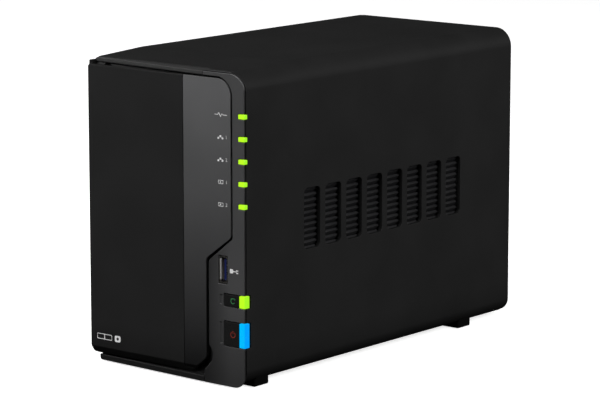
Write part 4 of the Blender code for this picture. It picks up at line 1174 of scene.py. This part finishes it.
def make_electronics():
    refined("mainboard", "circuit_board", 0.12)
    refined("heatsink", "heatsink_metal", 0.25)
    refined("memory_module", "circuit_board", 0.08)
    x, y, z = span("memory_module")
    chips = [((x[0] - 0.9, x[0] + 0.1), (start, start + 11.0), (z[0] + 10, z[0] + 22))
             for start in (-29.0, -14.0, 7.0, 22.0)]
    details("memory_chips", "memory_module", "chip_epoxy", chips)
    x, y, z = span("coin_cell")
    centre = (sum(y) / 2, sum(z) / 2)
    radius = (y[1] - y[0]) / 2
    profile = [(0.0, x[0]), (radius - 1.4, x[0]), (radius - 1.2, x[0] + 0.5), (radius - 0.2, x[0] + 0.6),
               (radius, x[0] + 0.9), (radius, x[1] - 0.3), (radius - 0.3, x[1]), (0.0, x[1])]
    stand_for(ease(turned("coin_cell_can", centre, profile, axis="X"), 0.0), "coin_cell", "screw_steel")
    face = MAIN_BOARD[0][0] + 1.6
    chips = [((face - 0.1, face + 1.0), (-58.0 + at, -50.0 + at), (76.0, 84.0)) for at in (0, 12, 84, 96)]
    chips += [((face - 0.1, face + 1.2), (54.0, 66.0), (90.0, 102.0))]
    details("mainboard_chips", "mainboard", "chip_epoxy", chips)
    refined("io_board", "circuit_board", 0.12)
    top = IO_BOARD[2][1]
    chips = [((at, at + 8.0), (84.0, 91.0), (top - 0.1, top + 1.1)) for at in (-20.0, -2.0, 16.0)]
    details("io_board_chips", "io_board", "chip_epoxy", chips)


# Rear

def fan_corners():
    half = FAN_HOLE_PITCH / 2
    return [(x, FAN_CENTRE_Z + z) for x in (-half, half) for z in (-half, half)]


def make_rear_panel():
    face = REAR_PANEL_FRONT
    panel = prism("rear_moulding", [rounded(body_corners(GAP))], face, REAR)
    inset = WALL + PLUG_GAP
    rim = prism("rear_rim", [rounded(body_corners(inset)), rounded(body_corners(inset + 1.8))], REAR_Y[0],
                face + 0.6)
    through = (face - 1, REAR + 1)
    slots = []
    for row in range(-5, 6):
        dz = row * 7.4
        reach = sqrt(FAN_VENT_REACH ** 2 - dz ** 2)
        for side in (-1, 1):
            x = sorted((side * 2.2, side * reach))
            slots.append(rectangle(x, around(FAN_CENTRE_Z + dz, 1.9), 1.5, 0.4))
    ports = []
    for number in (1, 2):
        x, _, z = span(f"lan_jack_{number}")
        ports.append((wider(x, GAP), through, wider(z, GAP)))
    x, _, z = span("usb_rear_shell")
    ports.append((wider(x, GAP), through, (z[0] - GAP, z[1] + 0.4)))
    lock = prism("rear_lock_slot", [rectangle(*LOCK_SLOT, 1.2, 0.3)], *through)
    corners = fan_corners()
    cut(join(panel, rim), prism("rear_slots", slots, *through), boxes("rear_ports", ports), lock,
        rods("rear_screw_holes", corners, 1.9, *through, 24),
        rods("rear_screw_seats", corners, 3.5, REAR - 2.0, REAR + 1, 32),
        rods("rear_dc_hole", [DC_PLACE], 4.9, *through, 40),
        rods("rear_reset_hole", [RESET_PLACE], 1.5, *through, 24))
    stand_for(ease(panel, 0.3), "rear_panel", "shell_plastic")


def make_fan_screws():
    for number, centre in enumerate(fan_corners(), 1):
        node = f"fan_screw_{number}"
        y = span(node)[1]
        head = y[1] - 1.6
        profile = [(0.0, y[0]), (1.1, y[0]), (1.5, y[0] + 0.5), (1.5, head), (3.0, head), (3.1, head + 0.3),
                   (3.05, head + 0.9), (2.5, head + 1.35), (1.5, y[1] - 0.05), (0.0, y[1])]
        screw = turned(node + "_turned", centre, profile, 36)
        depth = (y[1] - 1.0, y[1] + 1)
        level = block(node + "_level", around(centre[0], 1.6), depth, around(centre[1], 0.3))
        upright = block(node + "_upright", around(centre[0], 0.3), depth, around(centre[1], 1.6))
        stand_for(ease(cut(screw, level, upright), 0.0), node, "screw_steel")


def make_fan_frame():
    holes = [ring(corner, 2.2, 24) for corner in fan_corners()]
    centre = FAN_CENTRE
    body = prism("fan_housing", [rectangle(FAN_X, FAN_Z, 4.0), ring(centre, FAN_BORE, 96)] + holes, *FAN_Y)
    seat = rods("fan_motor_seat", [centre], FAN_HUB + 1, FAN_Y[1] - 3.2, FAN_Y[1] - 0.4, 64)
    struts = []
    for index in range(4):
        turn = Matrix.Rotation(tau * (index + 0.5) / 4, 4, "Y")
        bm = bmesh.new()
        middle = Matrix.Translation(((FAN_HUB + FAN_BORE) / 2, 0.0, 0.0))
        size = Matrix.Diagonal((FAN_BORE - FAN_HUB + 3, 2.4, 4.0, 1.0))
        spot = Matrix.Translation((0.0, FAN_Y[1] - 1.8, FAN_CENTRE_Z))
        bmesh.ops.create_cube(bm, size=1.0, matrix=Matrix.Scale(MM, 4) @ spot @ turn @ middle @ size)
        struts.append(new_piece(f"fan_strut_{index}", bm))
    waist = prism("fan_waist",
                  [rectangle(wider(FAN_X, 1), wider(FAN_Z, 1)), ring(centre, FAN_BORE + 1.6, 96)],
                  FAN_Y[0] + 4, FAN_Y[1] - 4)
    shaft = rods("fan_shaft_hole", [centre], 1.9, FAN_Y[1] - 4, FAN_Y[1] + 1, 24)
    cut(join(body, seat, *struts), waist, shaft)
    stand_for(ease(body, 0.25), "fan_frame", "inner_plastic")


def make_fan_rotor():
    """Hub with a rounded nose and swept, twisted blades."""
    nose = ROTOR_Y[0]
    tail = FAN_Y[1] - 3.7
    profile = [(0.0, nose), (FAN_HUB - 2.5, nose), (FAN_HUB - 0.7, nose + 0.7), (FAN_HUB, nose + 2.5),
               (FAN_HUB, tail), (1.5, tail), (1.5, ROTOR_Y[1]), (0.0, ROTOR_Y[1])]
    stand_for(ease(turned("fan_hub", FAN_CENTRE, profile, 64), 0.0), "fan_rotor", "inner_plastic")
    bm = bmesh.new()
    for index in range(FAN_BLADES):
        add_blade(bm, tau * index / FAN_BLADES)
    fit(ease(new_piece("fan_blades", bm), 0.0), "fan_rotor", "inner_plastic")


def add_blade(bm, start):
    """One closed blade: a grid across its span and chord, thinner towards the tip."""
    spans = 9
    chords = 7
    middle = FAN_Y[0] + 11.0
    layers = []
    for face in (-1, 1):
        grid = []
        for i in range(spans):
            share = i / (spans - 1)
            radius = FAN_HUB - 0.8 + share * (FAN_BLADE_TIP - FAN_HUB + 0.8)
            twist = radians(48.0 - 18.0 * share)
            half_chord = 8.5 + 3.0 * share
            thickness = 0.8 - 0.35 * share
            row = []
            for j in range(chords):
                across = 2 * j / (chords - 1) - 1
                arch = 1.2 * (1 - across * across)
                along = half_chord * across
                y = middle + along * sin(twist) + arch * cos(twist)
                swing = (along * cos(twist) - arch * sin(twist)) / radius + 0.22 * share
                edge = thickness * (1 - 0.75 * abs(across) ** 3)
                angle = start + swing - face * edge * sin(twist) / radius
                y += face * edge * cos(twist)
                row.append(bm.verts.new((radius * cos(angle) * MM, y * MM,
                                         (FAN_CENTRE_Z + radius * sin(angle)) * MM)))
            grid.append(row)
        layers.append(grid)
    lower, upper = layers
    for i in range(spans - 1):
        for j in range(chords - 1):
            bm.faces.new((lower[i][j], lower[i][j + 1], lower[i + 1][j + 1], lower[i + 1][j]))
            bm.faces.new((upper[i][j], upper[i + 1][j], upper[i + 1][j + 1], upper[i][j + 1]))
    rim = [(i, 0) for i in range(spans)] + [(spans - 1, j) for j in range(1, chords)]
    rim += [(i, chords - 1) for i in range(spans - 2, -1, -1)] + [(0, j) for j in range(chords - 2, 0, -1)]
    for (a, b), (c, d) in zip(rim, rim[1:] + rim[:1]):
        bm.faces.new((lower[a][b], lower[c][d], upper[c][d], upper[a][b]))


def make_ports():
    for number in (1, 2):
        node = f"lan_jack_{number}"
        x, y, z = span(node)
        centre = sum(x) / 2
        refined(node, "connector_metal", 0.2)
        wires = [((centre - 4.0 + index * 1.02, centre - 3.55 + index * 1.02), (103.2, 111.0),
                  (z[0] + 2.3, z[0] + 2.75)) for index in range(8)]
        details(f"lan_contacts_{number}", node, "gold_contact", wires, 0.06)
        lights = [(around(centre + side * 5.8, 1.2), (y[1] - 2.0, y[1] + 0.1), (z[1] - 2.6, z[1] - 1.0))
                  for side in (-1, 1)]
        details(f"lan_lights_{number}", node, "release_plastic", lights, 0.12)
    x, y, z = span("usb_rear_shell")
    stand_for(ease(usb_sleeve("rear"), 0.12), "usb_rear_shell", "connector_metal")
    refined("usb_rear_tongue", "connector_insert", 0.15)
    pads = [(around(x[0] + 3.2 + index * USB_PAD_PITCH, 0.5), (y[0] + 5.0, y[1] - 1.8),
             (z[1] - 3.1, z[1] - 2.95)) for index in range(4)]
    details("usb_rear_contacts", "usb_rear_tongue", "gold_contact", pads, 0.04)
    refined("dc_jack", "inner_plastic", 0.15)
    y = span("dc_jack")[1]
    pin = [(0.0, y[0] + 6), (1.0, y[0] + 6), (1.0, y[1] - 1.9), (0.75, y[1] - 1.6), (0.0, y[1] - 1.5)]
    fit(ease(turned("dc_pin", DC_PLACE, pin, 24), 0.0), "dc_jack", "connector_metal")
    y = span("reset_button")[1]
    knob = [(0.0, y[0]), (1.15, y[0]), (1.15, y[1] - 0.4), (0.8, y[1] - 0.08), (0.0, y[1])]
    stand_for(ease(turned("reset_pin", RESET_PLACE, knob, 24), 0.0), "reset_button", "release_plastic")


# Stage

CAMERA_SPOT = (1.0006, -1.2299, 0.3629)
CAMERA_YAW = 39.26
CAMERA_PITCH = 10.22
CAMERA_LENS = 176.7


def make_camera():
    lens = bpy.data.cameras.new("camera")
    lens.lens = CAMERA_LENS
    lens.sensor_width = 36.0
    lens.clip_start = 0.05
    camera = bpy.data.objects.new("camera", lens)
    camera.location = CAMERA_SPOT
    camera.rotation_euler = (radians(90.0 - CAMERA_PITCH), 0.0, radians(CAMERA_YAW))
    bpy.context.scene.collection.objects.link(camera)
    bpy.context.scene.camera = camera


def make_floor():
    """Pale seamless floor that doesn't throw its own light back up at the case."""
    bm = bmesh.new()
    bmesh.ops.create_grid(bm, x_segments=1, y_segments=1, size=6.0)
    floor = new_piece("floor", bm)
    look = bpy.data.materials.new("floor_paper")
    look.use_nodes = True
    shader = look.node_tree.nodes["Principled BSDF"]
    shader.inputs["Base Color"].default_value = (0.9, 0.9, 0.9, 1.0)
    shader.inputs["Roughness"].default_value = 0.9
    shader.inputs["Specular IOR Level"].default_value = 0.0
    shader.inputs["Emission Color"].default_value = (1.0, 1.0, 1.0, 1.0)
    shader.inputs["Emission Strength"].default_value = 0.72
    floor.data.materials.append(look)
    floor.visible_diffuse = False
    floor.visible_glossy = False
    floor.location.z = -0.0002


def make_world():
    """White behind the object; for its lighting, a dim sky that darkens below the horizon."""
    world = bpy.data.worlds.new("studio")
    bpy.context.scene.world = world
    world.use_nodes = True
    tree = world.node_tree
    tree.nodes.clear()
    direction = add_node(tree, "TexCoord")
    parts = add_node(tree, "SeparateXYZ")
    link(direction.outputs["Generated"], parts.inputs["Vector"])
    level = spread(tree, parts.outputs["Z"], 0.0, 0.02, 0.0, 0.5)
    sky = add_node(tree, "Background")
    link(level, sky.inputs["Strength"])
    white = add_node(tree, "Background", {"Color": (1.0, 1.0, 1.0, 1.0), "Strength": 1.0})
    path = add_node(tree, "LightPath")
    mixed = add_node(tree, "MixShader")
    link(path.outputs["Is Camera Ray"], mixed.inputs["Fac"])
    link(sky.outputs["Background"], mixed.inputs[1])
    link(white.outputs["Background"], mixed.inputs[2])
    output = add_node(tree, "OutputWorld")
    link(mixed.outputs["Shader"], output.inputs["Surface"])


def make_light(name, spot, aim, size, watts):
    lamp = bpy.data.lights.new(name, "AREA")
    lamp.shape = "RECTANGLE"
    lamp.size, lamp.size_y = size
    lamp.energy = watts
    light = bpy.data.objects.new(name, lamp)
    light.location = spot
    light.rotation_euler = (Vector(aim) - Vector(spot)).to_track_quat("-Z", "Y").to_euler()
    bpy.context.scene.collection.objects.link(light)


def make_lights():
    middle = (0.0, 0.0, 0.08)
    make_light("front_softbox", (-0.2, -1.35, 1.35), middle, (1.2, 1.0), 40.0)
    make_light("right_softbox", (1.8, -0.1, 0.85), middle, (1.2, 1.0), 30.0)
    make_light("left_softbox", (-1.7, -0.3, 0.5), middle, (0.9, 0.7), 11.0)
    make_light("rear_softbox", (0.9, 1.7, 0.5), middle, (0.9, 0.7), 4.0)


def make_stage():
    make_camera()
    make_floor()
    make_world()
    make_lights()
    bpy.context.scene.view_settings.view_transform = "Standard"


def build():
    make_looks()
    make_stage()
    make_case_shell()
    make_vent("side_vent_right")
    make_vent("side_vent_left")
    make_base()
    make_bezel()
    make_grommets()
    make_column()
    make_lenses()
    make_buttons()
    make_front_usb()
    make_control_board()
    make_cover_panel()
    make_cover_trim()
    make_indicator_marks()
    make_cover_mark()
    make_column_marks()
    make_bays()
    make_backplane()
    make_electronics()
    make_rear_panel()
    make_fan_screws()
    make_fan_frame()
    make_fan_rotor()
    make_ports()


build()
